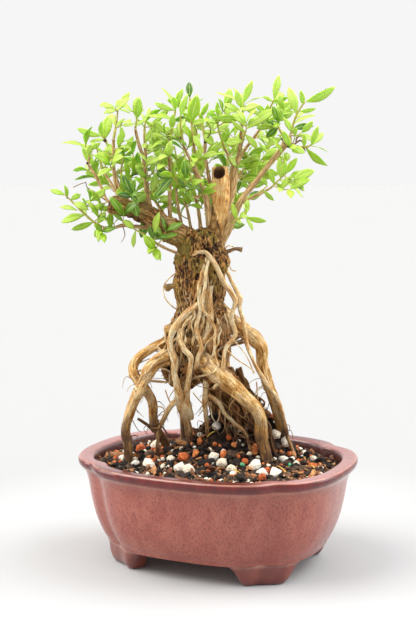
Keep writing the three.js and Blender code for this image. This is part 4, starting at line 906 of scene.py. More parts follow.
@dataclass(frozen=True)
class BarkFinish(Finish):
    """Bark that runs lengthwise: tan on its ridges, with olive patches, and dark in its furrows, partly by
    painted shade that also darkens its low places.
    """

    dark: Colour = tint(100, 56, 24)
    middle: Colour = tint(190, 136, 66)
    ridge: Colour = tint(230, 184, 110)
    light: Colour = tint(246, 214, 160)
    core_dark: Colour = tint(20, 10, 5)
    core: Colour = tint(92, 54, 26)
    core_ridge: Colour = tint(202, 154, 84)
    flake: Colour = tint(206, 138, 66)
    shaggy: Colour = tint(120, 58, 24)
    olive: Colour = tint(140, 124, 48)
    soil: Colour = tint(76, 48, 30)
    cracks: float = 0.55
    fibres: float = 1.0
    depth: float = 0.0004

    def look(self, tree: Tree) -> dict[str, object]:
        """Cracks and fibres along the grain, over a tone and a height that the wood carries, with painted
        shade where the height sinks and in the cracks.

        Args:
            tree: the material's nodes.

        Returns:
            The inputs' values by their names.
        """
        at, grain, tone = place_of(tree), carried(tree, "grain", "Vector"), carried(tree, "tone")
        up = at.parts()[2]
        cracks, fibres = grain.effect(FURROW, self.cracks, self.fibres)
        flecks, patches = at.effect(SPECKLE, 520.0, 60.0)
        specks, blotches = grain.stretched(1, 1, 0.4).effect(SPECKLE, 1.5, 0.22)
        worn = (fibres * 0.4 + blotches * 0.6).spread(0.0, 0.85, 0.05, 1.0)
        bright = worn.ramp((0.0, self.dark), (0.18, self.middle), (0.6, self.ridge), (0.95, self.light))
        bright = (specks * 0.4).mix(bright, self.dark)
        dull = fibres.ramp((0.1, self.core_dark), (0.5, self.core), (0.9, self.core_ridge))
        dull = (flecks * 0.6).mix(dull, self.flake)
        dull = (up.spread(0.15, 0.185, 0.75, 0.0) * fibres).mix(dull, self.shaggy)
        mossy = (0.8 - tone) * up.spread(0.18, 0.225, 0.22, 0.85)
        colour = (patches.spread(0.35, 0.85) * mossy).mix(tone.mix(dull, bright), self.olive)
        soiled = up.spread(0.088, 0.116, 1.0, 0.0) * blotches.spread(0.1, 0.7, 0.5, 0.95)
        colour = soiled.mix(colour, self.soil)
        # painted shade: the darkest colours laid where the relief sinks low and along the cracks, standing in
        # for shade between roots and in furrows
        low = carried(tree, "height").spread(-1.4, -0.3, 0.9, 0.0)
        deep = low.sum("MAXIMUM", low, cracks * 0.35)
        colour = deep.mix(colour, tone.mix(self.core_dark, self.dark))
        return {"Base Color": colour, "Normal": (fibres - cracks * 0.9).bump(self.depth)}


@dataclass(frozen=True)
class StubFinish(Finish):
    """Bare weathered wood: smooth and tan with pale streaks, brown inside its hollow, where painted shade
    also darkens it deeper in.
    """

    wood: tuple[Colour, ...] = (tint(184, 112, 50), tint(236, 180, 102), tint(252, 222, 158))
    bark: tuple[Colour, ...] = (tint(60, 38, 14), tint(140, 100, 46), tint(210, 164, 92))
    crack: Colour = tint(122, 74, 36)
    # the hollow's brown wood, also laid deeper in as painted shade
    hollow: Colour = tint(112, 72, 46)

    def look(self, tree: Tree) -> dict[str, object]:
        """Streaks along the grain, bark at the foot and the sides, dark inside, partly as painted shade.

        Args:
            tree: the material's nodes.

        Returns:
            The inputs' values by their names.
        """
        cracks, fibres = carried(tree, "grain", "Vector").effect(FURROW, 0.5, 0.8)
        blotches = place_of(tree).effect(SPECKLE, 300.0, 240.0)[1]
        worn = fibres * 0.4 + blotches * 0.6
        wood = (cracks * 0.35).mix(worn.ramp(*zip((0.0, 0.45, 1.0), self.wood)), self.crack)
        bark = worn.ramp(*zip((0.0, 0.5, 1.0), self.bark))
        bare = (carried(tree, "tone") + fibres * 0.3).spread(0.55, 0.85)
        colour = carried(tree, "hollow").mix(bare.mix(bark, wood), self.hollow)
        return {"Base Color": colour, "Normal": (fibres - cracks).bump(0.0004)}


@dataclass(frozen=True)
class LeafFinish(Finish):
    """A thin satin leaf with a pale rib and veins. Its tone runs from deep green to yellow-green."""

    deep: Colour = tint(36, 80, 12)
    dull: Colour = tint(104, 142, 20)
    green: Colour = tint(152, 182, 32)
    fresh: Colour = tint(180, 206, 90)
    rib: Colour = tint(224, 236, 140)

    def look(self, tree: Tree) -> dict[str, object]:
        """Veins drawn from the leaf's own length and breadth, over its tone.

        Args:
            tree: the material's nodes.

        Returns:
            The inputs' values by their names.
        """
        blade = carried(tree, "blade", "Vector")
        along, out, _ = blade.parts()
        out = abs(out)
        mottle = blade.effect(SPECKLE, 20.0, 3.0)[1]
        tone = carried(tree, "tone") + (mottle - 0.5) * 0.2
        colour = tone.ramp((0.02, self.deep), (0.22, self.dull), (0.5, self.green), (1.0, self.fresh))
        slant = along * 9.0 - out * 2.2
        veins = slant.sum("PINGPONG", slant, 0.5).spread(0.0, 0.09, 1.0, 0.0)
        veins = veins * out.spread(0.75, 1.0, 0.4, 0.0)
        marks = veins.sum("MAXIMUM", out.spread(0.02, 0.14, 0.75, 0.0), veins)
        return {
            "Base Color": (marks * 0.6).mix(colour, self.rib),
            "Subsurface Weight": 0.45,
            "Subsurface Radius": (0.5, 1.0, 0.2),
            "Subsurface Scale": 0.0012,
            "Normal": (1.0 - marks).bump(0.00012),
        }


@dataclass(frozen=True)
class ShootFinish(Finish):
    """Young bark: pinkish tan where it is woody, yellow-green towards the tip."""

    wood: tuple[Colour, ...] = (tint(118, 84, 44), tint(186, 146, 90), tint(232, 200, 142))
    young: tuple[Colour, ...] = (tint(150, 146, 48), tint(204, 202, 92))

    def look(self, tree: Tree) -> dict[str, object]:
        """Fine fibres over the tone that the stem carries, from wood at 0 to green at 1.

        Args:
            tree: the material's nodes.

        Returns:
            The inputs' values by their names.
        """
        fibres = carried(tree, "grain", "Vector").effect(FURROW, 0.9, 2.2)[1]
        wood, young = fibres.ramp(*zip((0.0, 0.5, 1.0), self.wood)), fibres.ramp(*zip((0.0, 1.0), self.young))
        return {"Base Color": carried(tree, "tone").mix(wood, young), "Normal": fibres.bump(0.00025)}


@dataclass(frozen=True)
class GritFinish(Finish):
    """Grains: each takes its own colour between three, by the tone it carries."""

    low: Colour = tint(18, 12, 9)
    middle: Colour = tint(52, 36, 26)
    high: Colour = tint(124, 92, 66)
    pits: float = 900.0
    depth: float = 0.0004

    def look(self, tree: Tree) -> dict[str, object]:
        """A ramp over the tone, darkened in small pits.

        Args:
            tree: the material's nodes.

        Returns:
            The inputs' values by their names.
        """
        spots, mottle = place_of(tree).effect(SPECKLE, self.pits, self.pits / 3)
        shade = carried(tree, "tone") + (mottle - 0.5) * 0.3
        colour = shade.ramp((0.0, self.low), (0.55, self.middle), (1.0, self.high))
        colour = (spots * 0.45).mix(colour, self.low)
        return {"Base Color": colour, "Normal": (mottle - spots).bump(self.depth)}


@dataclass(frozen=True)
class PlainFinish(Finish):
    """Two near colours in a faint mottle."""

    colour: Colour = tint(28, 28, 30)
    shade: Colour = tint(38, 38, 40)

    def look(self, tree: Tree) -> dict[str, object]:
        """The mottle between the two colours."""
        return {"Base Color": place_of(tree).effect(SPECKLE, 900.0, 260.0)[1].mix(self.colour, self.shade)}


Finishes = dict[str, bpy.types.Material]
FINISHES = {
    "glaze": GlazeFinish("red_brown_glaze", 0.3, 0.45),
    "bark": BarkFinish("root_bark", 0.78, 0.3),
    "fine_root": BarkFinish(
        "fine_root_bark", 0.7, 0.35, dark=tint(144, 84, 38), middle=tint(218, 166, 100),
        ridge=tint(246, 212, 150), light=tint(255, 238, 192), olive=tint(214, 180, 104),
        core=tint(112, 66, 30), core_dark=tint(48, 24, 10), core_ridge=tint(176, 124, 68),
        cracks=0.8, fibres=1.6, depth=0.0003),
    "stub": StubFinish("bare_wood", 0.6, 0.4),
    "leaf": LeafFinish("leaf_green", 0.42, 0.45),
    "shoot": ShootFinish("young_stem", 0.6),
    "soil": GritFinish("dark_soil", 0.92, 0.2),
    "grit": GritFinish("dark_grit", 0.8, 0.35, high=tint(140, 108, 78)),
    "chip": GritFinish("bark_chip", 0.75, 0.5, tint(58, 30, 16), tint(120, 70, 36), tint(192, 134, 80)),
    "perlite": GritFinish(
        "white_perlite", 0.85, 0.5, tint(206, 178, 142), tint(244, 230, 204), tint(255, 250, 236),
        pits=1500.0, depth=0.0005),
    "clay": GritFinish("orange_clay", 0.8, 0.5, tint(128, 52, 18), tint(196, 94, 36), tint(222, 138, 76)),
    "green_pellet": PlainFinish("green_pellet", 0.5, 0.5, tint(40, 128, 84), tint(70, 160, 110)),
    "straw": PlainFinish("straw", 0.6, 0.5, tint(214, 180, 84), tint(196, 142, 60)),
    "bud": GritFinish("bud_scale", 0.7, 0.5, tint(40, 26, 16), tint(92, 64, 38), tint(150, 112, 70)),
    "plastic": PlainFinish("black_mesh"),
}


def dress(piece: Piece, material: bpy.types.Material, replaces: Sequence[str] = ()) -> None:
    """Gives a new piece its material and its body, and hides the solids it stands for.

    Args:
        piece: the new piece.
        material: its finish.
        replaces: the names of the solids that it stands for.
    """
    piece.data.materials.clear()
    piece.data.materials.append(material)
    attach(piece, BODY)
    if replaces:
        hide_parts(*replaces)
    log.info("%s: %d points, %d faces", piece.name, len(piece.data.vertices), len(piece.data.polygons))


# The pot and its soil


@dataclass(frozen=True)
class Outline:
    """The pot's outline from above: an oval between an ellipse and a box, nicked at four places."""

    half_length: float = 100.0
    half_width: float = 85.6
    roundness: float = 2.44
    notch_angle: float = math.radians(42.3)
    notch_depth: float = 4.6
    notch_reach: float = 10.1

    def radius(self, angle: Array) -> Array:
        """The outline's radius at each angle: a superellipse less a narrow bell at each nick.

        Args:
            angle: angles in radians.

        Returns:
            The radii in millimetres.
        """
        c, s = np.abs(np.cos(angle)), np.abs(np.sin(angle))
        wide = (c / self.half_length) ** self.roundness + (s / self.half_width) ** self.roundness
        wide = wide ** (-1 / self.roundness)
        away = wide * np.abs(np.arctan2(s, c) - self.notch_angle)
        return wide - self.notch_depth * np.exp(-((away / self.notch_reach) ** 1.5))

    def ring(self, angle: Array, inset: Array | float, z: Array | float) -> Array:
        """Points inside the outline by an inset, at a height."""
        radius = self.radius(angle) - inset
        return np.stack([radius * np.cos(angle), radius * np.sin(angle), np.broadcast_to(z, angle.shape)], -1)


OUTLINE = Outline()


@dataclass
class Pot:
    """The glazed pot: wall, lip, floor with drain holes, and four feet.

    profile: inset from the outline and height, from the underside round the lip to the floor.
    foot_rows: how far in a foot's face and back are, its height and its half length, from the top down.
    edges: the height of each pale line, a painted highlight along a rounded edge where the glaze also thins,
    its strength and its reach.
    """

    sides: int = 320
    caps: int = 3
    drain_radius: float = 8.0
    drain_across: float = 36.0
    drain_depth: tuple[float, float] = (10.0, 26.0)
    profile: str = """36 15, 27 15.1, 23.4 14.9, 22.2 14.7, 21.3 15, 20.9 15.9, 20.7 17, 19.4 18.8, 17.8 21.4,
        15.9 25.4, 13.8 30.4, 11.9 36, 10.4 41.8, 9 48.6, 8 55, 7.1 60.4, 6.2 64, 4.9 67, 3.3 69.2, 1.7 70.7,
        0.7 72, 0.15 73.3, 0 74.6, 0.25 75.8, 0.9 76.6, 2 76.95, 5 76.95, 8.5 76.7, 10.4 76.3, 11.4 75.5,
        11.9 74.2, 12.4 70, 13.4 60, 15.4 46, 18 34, 21 27, 25 22.9, 30 21.2, 34 21"""
    foot_rows: str = """23.5 35 17.2 24, 22.3 36 15.6 28.5, 21.9 36.4 14.2 27.4, 21.9 36.6 12.4 24.6,
        22.1 37 10 22.2, 22.5 37.6 7 20, 23.1 38 4.6 18.2, 23.9 38.2 2.6 16.6, 24.9 38.1 1.1 15.2,
        26.2 37.6 0.3 14, 27.4 37 0.05 13"""
    edges: str = "15.3 0.75 1.2, 68.6 0.3 2.2, 76.5 0.5 0.7"
    foot_angle: float = math.radians(39.2)
    foot_sides: int = 64
    foot_roundness: float = 5.5

    def build(self) -> dict[str, Piece]:
        """Makes the bowl and the feet."""
        return {"bowl": self._bowl(), "feet": self._feet()}

    def _bowl(self) -> Piece:
        """The bowl: the profile swept round the outline, closed at its middle, with two holes cut through."""
        line = smooth_line([[inset, 0, z] for inset, z in rows(self.profile)], 1.15)
        inset, z = line[:, 0], line[:, 2]
        angle = np.linspace(0, 2 * np.pi, self.sides, endpoint=False)
        shell = OUTLINE.ring(np.broadcast_to(angle, (len(z), self.sides)), inset[:, None], z[:, None])
        shares = (np.arange(1, self.caps + 1) / (self.caps + 1))[:, None, None] * [1, 1, 0] + [0, 0, 1]
        shell = np.concatenate([shell[0] * shares, shell, shell[-1] * shares[::-1]])
        order = np.arange(len(shell))
        station = np.clip(order - self.caps, 0, len(z) - 1)
        flow, heights = run_of(line)[station], z[station]
        outer = order < np.argmax(heights * (inset[station] > 1.9))
        bands = {
            "lip": np.where(outer, np.interp(heights, [69.8, 71.2, 75.9, 76.6], [0, 1, 1, 0]), 0),
            "rim": np.interp(heights, [76.0, 76.6], [0, 1]),
            "inside": np.where(outer, 0, np.interp(heights, [75.2, 76.4], [1, 0])),
            # edge: pale lines painted as highlights along the rounded edges
            "edge": np.interp(flow, *self._edge_highlights(flow, heights, outer)),
            "foot": np.zeros(len(shell)),
        }
        surface = Surface()
        surface.add_shell(shell, [[0, 0, z[0]], [0, 0, z[-1]]], **{
            key: np.append(np.repeat(band, self.sides), [band[0], band[-1]]) for key, band in bands.items()})
        bowl = surface.piece("pot_bowl")
        low, high = self.drain_depth
        for side in (-1, 1):
            middle = np.array([side * self.drain_across, 0, (low + high) / 2]) * MM + POT_MIDDLE
            bpy.ops.mesh.primitive_cylinder_add(
                vertices=48, radius=self.drain_radius * MM, depth=(high - low) * MM, location=middle)
            cut_away(bowl, bpy.context.object)
        return bowl

    def _edge_highlights(self, flow: Array, heights: Array, outer: Array) -> Array:
        """Where pale lines are painted as highlights along rounded edges, where the glaze also thins: under
        the lip, on the lip's brow and at the foot of the wall.

        Args:
            flow: the distance along the profile at each ring.
            heights: the height at each ring.
            outer: whether each ring is on the outside.

        Returns:
            Distances along the profile, and how pale the glaze is at each.
        """
        marks = []
        for z, strength, reach in rows(self.edges):
            at = flow[np.argmin(np.where(outer, np.abs(heights - z), np.inf))]
            marks += [(at - reach, 0.0), (at, strength), (at + reach, 0.0)]
        return np.array(sorted(marks)).T

    def _feet(self) -> Piece:
        """Four feet: a rounded box bent round the outline's nick, narrowing downwards."""
        face, back, z, half = smooth_line(rows(self.foot_rows), 1.1)[::-1].T
        turn = np.linspace(0, 2 * np.pi, self.foot_sides, endpoint=False)
        power = 2 / self.foot_roundness
        wide, deep = [np.sign(wave) * np.abs(wave) ** power for wave in (np.cos(turn), np.sin(turn))]
        # painted highlight: a pale line near the top of each foot, under the wall's bottom edge
        line = np.repeat(np.interp(z, [13.0, 14.6, 15.6], [0, 0.5, 0.3]), self.foot_sides)
        surface = Surface()
        for middle in (self.foot_angle, np.pi - self.foot_angle, np.pi + self.foot_angle, -self.foot_angle):
            radius = OUTLINE.radius(np.array([middle])) - face
            angle = middle - half[:, None] * wide / radius[:, None]
            inset = (face + back)[:, None] / 2 - deep * (back - face)[:, None] / 2
            shell = OUTLINE.ring(angle, inset, z[:, None])[:, ::-1]
            surface.add_shell(shell, [shell[0].mean(0), shell[-1].mean(0)], foot=0.9,
                              edge=np.append(line, [0, 0]), lip=0.0, rim=0.0, inside=0.0)
        return surface.piece("pot_feet")

    def dress(self, made: dict[str, Piece], finishes: Finishes) -> None:
        """Glazes the bowl and the feet."""
        dress(made["bowl"], finishes["glaze"], ["pot"])
        dress(made["feet"], finishes["glaze"])


@dataclass(frozen=True)
class Ground:
    """The soil's height: level near the rim, heaped up under the trunk, and broken by lumps.

    edge: how far inside the outline it starts. mounds: across, behind, rise, breadth and depth of each.
    """

    level: float = 69.5
    edge: float = 14.0
    mounds: str = "2 16 28 21 19, 29 22 32 15 9"

    def height(self, x: Array, y: Array) -> Array:
        """The height at each place, in millimetres: a bell for each mound, and two fine waves.

        Args:
            x: places along the pot.
            y: places across it.

        Returns:
            The heights there.
        """
        across, behind = x * math.cos(LAYOUT.turn) + y * math.sin(LAYOUT.turn), LAYOUT.depth(x, y)
        height = np.full(np.shape(x), self.level)
        for middle, depth, rise, wide, deep in rows(self.mounds):
            away = ((across - middle) / wide) ** 2 + ((behind - depth) / deep) ** 2
            height = height + rise * np.exp(-away / 2)
        return height + np.sin(0.33 * x + 1) * np.cos(0.29 * y) + 0.7 * np.sin(0.61 * x - 0.47 * y)

    def seen_at(self, spots: Array) -> Array:
        """Where the sight lines through layout spots meet the soil.

        Args:
            spots: rows of across and up on the layout's plane.

        Returns:
            Rows of x, y, z on the soil, in millimetres, or in the middle under it where a line misses it.
        """
        eye = LAYOUT.eye()
        ray = unit(LAYOUT.place(np.column_stack([spots, np.zeros(len(spots))])) - eye)
        path = eye + ray[:, None] * np.arange(700, 1060, 0.5)[None, :, None]
        x, y, z = path[..., 0], path[..., 1], path[..., 2]
        inside = np.hypot(x, y) < OUTLINE.radius(np.arctan2(y, x)) - self.edge
        under = inside & (z < self.height(x, y))
        met = path[np.arange(len(spots)), np.argmax(under, axis=1)]
        return np.where(under.any(1)[:, None], met, [0.0, 0.0, 60.0])


GROUND = Ground()


@dataclass
class Soil:
    """The soil: a body that fills the pot, and the grains that lie on it.

    wall: inset and height up the pot's inner wall. perlite, clay and pellets: grains placed where they are
    seen, as across, up and width. straws: the ends of each, as across and up. mixture: the kinds among the
    other grains, from which draw to which, and how large. shape: the breadth and the thickness of a kind of
    grain as shares of its length.
    """

    sides: int = 220
    rings: int = 60
    top_inset: float = 13.1
    grain_inset: float = 14.5
    spacing: float = 2.75
    sizes: tuple[float, float] = (2.2, 5.4)
    seed: int = 21
    wall: str = "30.4 21.4, 18.4 34, 13.8 60, 13.3 67"
    perlite: str = """-57 84 8, -51 88 6, -44 81 9, -62 75 5, -60 68 6, -50 66 9, -40 66 4, -34 71 6,
        -28 64 8, -21 62 9, -13 90 4, -12 97 4, -1 96 6, -3 73 7, 3 68 8, 13 94 8, 21 96 5, 17 107 6,
        15 85 4, 4 77 4, 23 76 4, 27 66 8, 42 90 7, 49 84 7, 48 71 7, 57 68 5, 60 83 8, 67 80 7, 73 82 6,
        76 77 7, 42 60 8, 10 64 7, 33 61 7, -70 72 6, 63 76 5, 70 72 5, 30 61.5 4, 54 72 4"""
    clay: str = """-56 78 8, -25 72 8, -40 73 4, -13 85 5, -2 83 4, 4 75 6, 12 83 4, 15 74 3, 24 94 3,
        26 77 6, 27 81 5, 36 63 5, 62 70 5, 68 78 3, 70 66 6, -47 70 5, -16 76 5, 8 88 4, -8 67 4, 20 70 5,
        52 76 4, -66 70 4, 58 64 4"""
    pellets: str = "18 68 4, 52.5 67.5 4"
    straws: str = "10 64 17 60, 43 67 50 61, 66 68 72 63, 62 73 64 71, -52 93 -44 88, -8 88 -2 92"
    mixture: tuple[tuple[str, float, float, float], ...] = (
        ("perlite", -1, 0, 1), ("clay", 0, 0.08, 0.8), ("chip", 0.08, 0.26, 1.5), ("grit", 0.26, 1, 1))
    shape: dict[str, tuple[float, float]] = field(default_factory=lambda: {
        "perlite": (0.85, 0.85), "clay": (0.85, 0.85), "green_pellet": (0.85, 0.85), "grit": (0.8, 0.6),
        "chip": (0.45, 0.28)})

    def build(self) -> dict[str, Piece]:
        """Makes the soil's body and its grains, each by its finish's name."""
        return {"soil": self._body(), **self._grains(), "straw": self._straws()}

    def _body(self) -> Piece:
        """The fill: rings up the pot's inner wall, then rings in over the lumpy top."""
        angle = np.linspace(0, 2 * np.pi, self.sides, endpoint=False)
        rings = [OUTLINE.ring(angle, inset, z) for inset, z in rows(self.wall)]
        edge = OUTLINE.ring(angle, self.top_inset, 0.0)
        for share in np.linspace(1, 0.012, self.rings):
            ring = edge * share
            ring[:, 2] = GROUND.height(ring[:, 0], ring[:, 1]) + 0.7 * layered_noise(ring / 3.2, 5) - 0.6
            rings.append(ring)
        ends = [[0, 0, rings[0][0, 2]], rings[-1].mean(0)]
        shell = np.stack(rings)
        surface = Surface()
        tone = 0.25 + 0.3 * layered_noise(np.vstack([shell.reshape(-1, 3), *ends]) / 4.0, 9)
        surface.add_shell(shell, ends, tone=tone)
        return surface.piece("soil_body")

    def _grains(self) -> dict[str, Piece]:
        """Loose grains: those seen, then a jittered grid of others that keeps clear of them."""
        rng = np.random.default_rng(self.seed)
        groups: dict[str, list[Array]] = {key: [] for key in self.shape}
        for key, table, scale in (("perlite", self.perlite, 1.3), ("clay", self.clay, 1.3),
                                  ("green_pellet", self.pellets, 1)):
            spots = np.array(rows(table))
            groups[key].append(np.column_stack([GROUND.seen_at(spots[:, :2]), spots[:, 2] * scale]))
        taken = np.concatenate([part for parts in groups.values() for part in parts])
        x, y = np.meshgrid(*[np.arange(-100, 100, self.spacing)] * 2)
        x = (x + rng.uniform(-0.45, 0.45, x.shape) * self.spacing).ravel()
        y = (y + rng.uniform(-0.45, 0.45, y.shape) * self.spacing).ravel()
        inside = np.hypot(x, y) < OUTLINE.radius(np.arctan2(y, x)) - self.grain_inset
        gap = np.hypot(x[:, None] - taken[:, 0], y[:, None] - taken[:, 1])
        clear = inside & np.all(gap > 0.42 * taken[:, 3] + 0.8, axis=1)
        x, y = x[clear], y[clear]
        kind = rng.random(len(x))
        size = rng.uniform(*self.sizes, len(x)) * np.where(kind < 0.08, 0.8, 1)
        size = np.where(rng.random(len(x)) < 0.1, size * 1.9, size)
        loose = np.column_stack([x, y, GROUND.height(x, y), size])
        kind = kind - 0.075 - 0.03 * (LAYOUT.depth(x, y) > 20)
        for key, low, high, scale in self.mixture:
            groups[key].append(loose[(kind >= low) & (kind < high)] * [1, 1, 1, scale])
        return {key: self._scatter(key, np.concatenate(parts), rng) for key, parts in groups.items()}

    def _scatter(self, key: str, grains: Array, rng: np.random.Generator) -> Piece:
        """Grains as lumpy solids: an octahedron split once, its points pushed in and out, turned at random.

        Args:
            key: the kind of grain.
            grains: x, y, z and width of each.
            rng: the seeded draws.

        Returns:
            The piece.
        """
        corners = np.vstack([np.eye(3), -np.eye(3)])[[0, 3, 1, 4, 2, 5]]
        sides = "024 214 134 304 205 125 315 035"
        eight = np.array([[int(corner) for corner in side] for side in sides.split()])
        edges = np.sort(np.concatenate([eight[:, [0, 1]], eight[:, [1, 2]], eight[:, [2, 0]]]), 1)
        pairs, which = np.unique(edges, axis=0, return_inverse=True)
        ball = np.vstack([corners, unit(corners[pairs].mean(1))])
        ab, bc, ca = (which.ravel() + len(corners)).reshape(3, -1)
        a, b, c = eight.T
        parts = (a, ab, ca), (b, bc, ab), (c, ca, bc), (ab, bc, ca)
        faces = np.concatenate([np.stack(part, 1) for part in parts])
        count, size = len(grains), grains[:, 3][:, None, None]
        lumps = 1 + 0.34 * (rng.random((count, len(ball), 1)) - 0.5)
        broad, thick = self.shape[key]
        breadth = rng.uniform(0.8 * broad, 1.15 * broad, count)
        axes = np.stack([np.ones(count), breadth, rng.uniform(0.75 * thick, 1.1 * thick, count)], 1)
        shape = ball * lumps * axes[:, None] * (size / 2)
        turn = unit(rng.normal(size=(count, 4)) * [1.0, 0.5, 0.5, 1.4])[:, None]
        spin = np.broadcast_to(turn[..., 1:], shape.shape)
        shape = shape + 2 * np.cross(spin, np.cross(spin, shape) + turn[..., :1] * shape)
        points = shape + grains[:, None, :3] + np.array([0, 0, 0.18]) * size
        all_faces = (faces + (np.arange(count) * len(ball))[:, None, None]).reshape(-1, 3)
        tone = rng.beta(1.4, 2.4, count) if key == "grit" else rng.uniform(0.35, 1, count)
        surface = Surface()
        surface.add(points.reshape(-1, 3), [all_faces], tone=np.repeat(tone, len(ball)))
        piece = surface.piece(f"soil_{key}")
        if key != "perlite":
            piece.data.shade_flat()
        return piece

    def _straws(self) -> Piece:
        """A few dry stems and needles on the soil, each a shallow arch."""
        surface = Surface()
        for key, ends in enumerate(rows(self.straws)):
            start, end = GROUND.seen_at(np.reshape(ends, (2, 2)))
            middle = (start + end) / 2 + [0, 0, 2.2]
            arch = [[*start + [0, 0, 1.2], 0.35], [*middle, 0.5], [*end + [0, 0, 1.6], 0.3]]
            add_tube(surface, smooth_line(arch, 0.8), 8, None, key, tone=0.5)
        return surface.piece("soil_straws")

    def dress(self, made: dict[str, Piece], finishes: Finishes) -> None:
        """Gives the soil's pieces their finishes."""
        for key, piece in made.items():
            dress(piece, finishes[key], ["soil"] if key == "soil" else [])


# The wood


def bark_relief(strength: float, seed: int) -> Relief:
    """Lengthwise furrows: folded noise that is narrow round the wood and long along it.

    Args:
        strength: the ridges' height in millimetres on a thick piece.
        seed: picks another pattern.

    Returns:
        A function that gives the height from the grain coordinates and the radius.
    """

    def relief(grain: Array, radius: Array) -> Array:
        """The height in millimetres.

        Args:
            grain: the grain coordinates.
            radius: the radius at each.

        Returns:
            The heights.
        """
        lumps = layered_noise(grain / [8.0, 8.0, 9.0], seed, 2)
        folds = 1 - 2.2 * np.abs(layered_noise(grain / [4.4, 4.4, 15.0], seed + 7))
        rings = layered_noise(grain / [9.0, 9.0, 1.9], seed + 11, 2)
        return strength * np.clip(radius / 5.0, 0.12, 2.0) * (1.1 * lumps + 0.32 * folds + 0.14 * rings)

    return relief


def nearest_line(points: Array, lines: Array, batch: int = 4000) -> tuple[Array, Array]:
    """For each point, the station whose tube surface it lies nearest, and the distance from it.

    Args:
        points: rows of x, y, z.
        lines: rows of x, y, z, radius.
        batch: how many points are worked out at once.

    Returns:
        The stations' indices and the distances, as shares of the radius.
    """
    chosen, away = [], []
    size = (lines[:, :3] ** 2).sum(1)
    for start in range(0, len(points), batch):
        part = points[start:start + batch]
        square = (part**2).sum(1)[:, None] + size[None] - 2 * part @ lines[:, :3].T
        reach = np.sqrt(np.maximum(square, 0)) / lines[None, :, 3]
        chosen.append(reach.argmin(1))
        away.append(reach.min(1))
    return np.concatenate(chosen), np.concatenate(away)


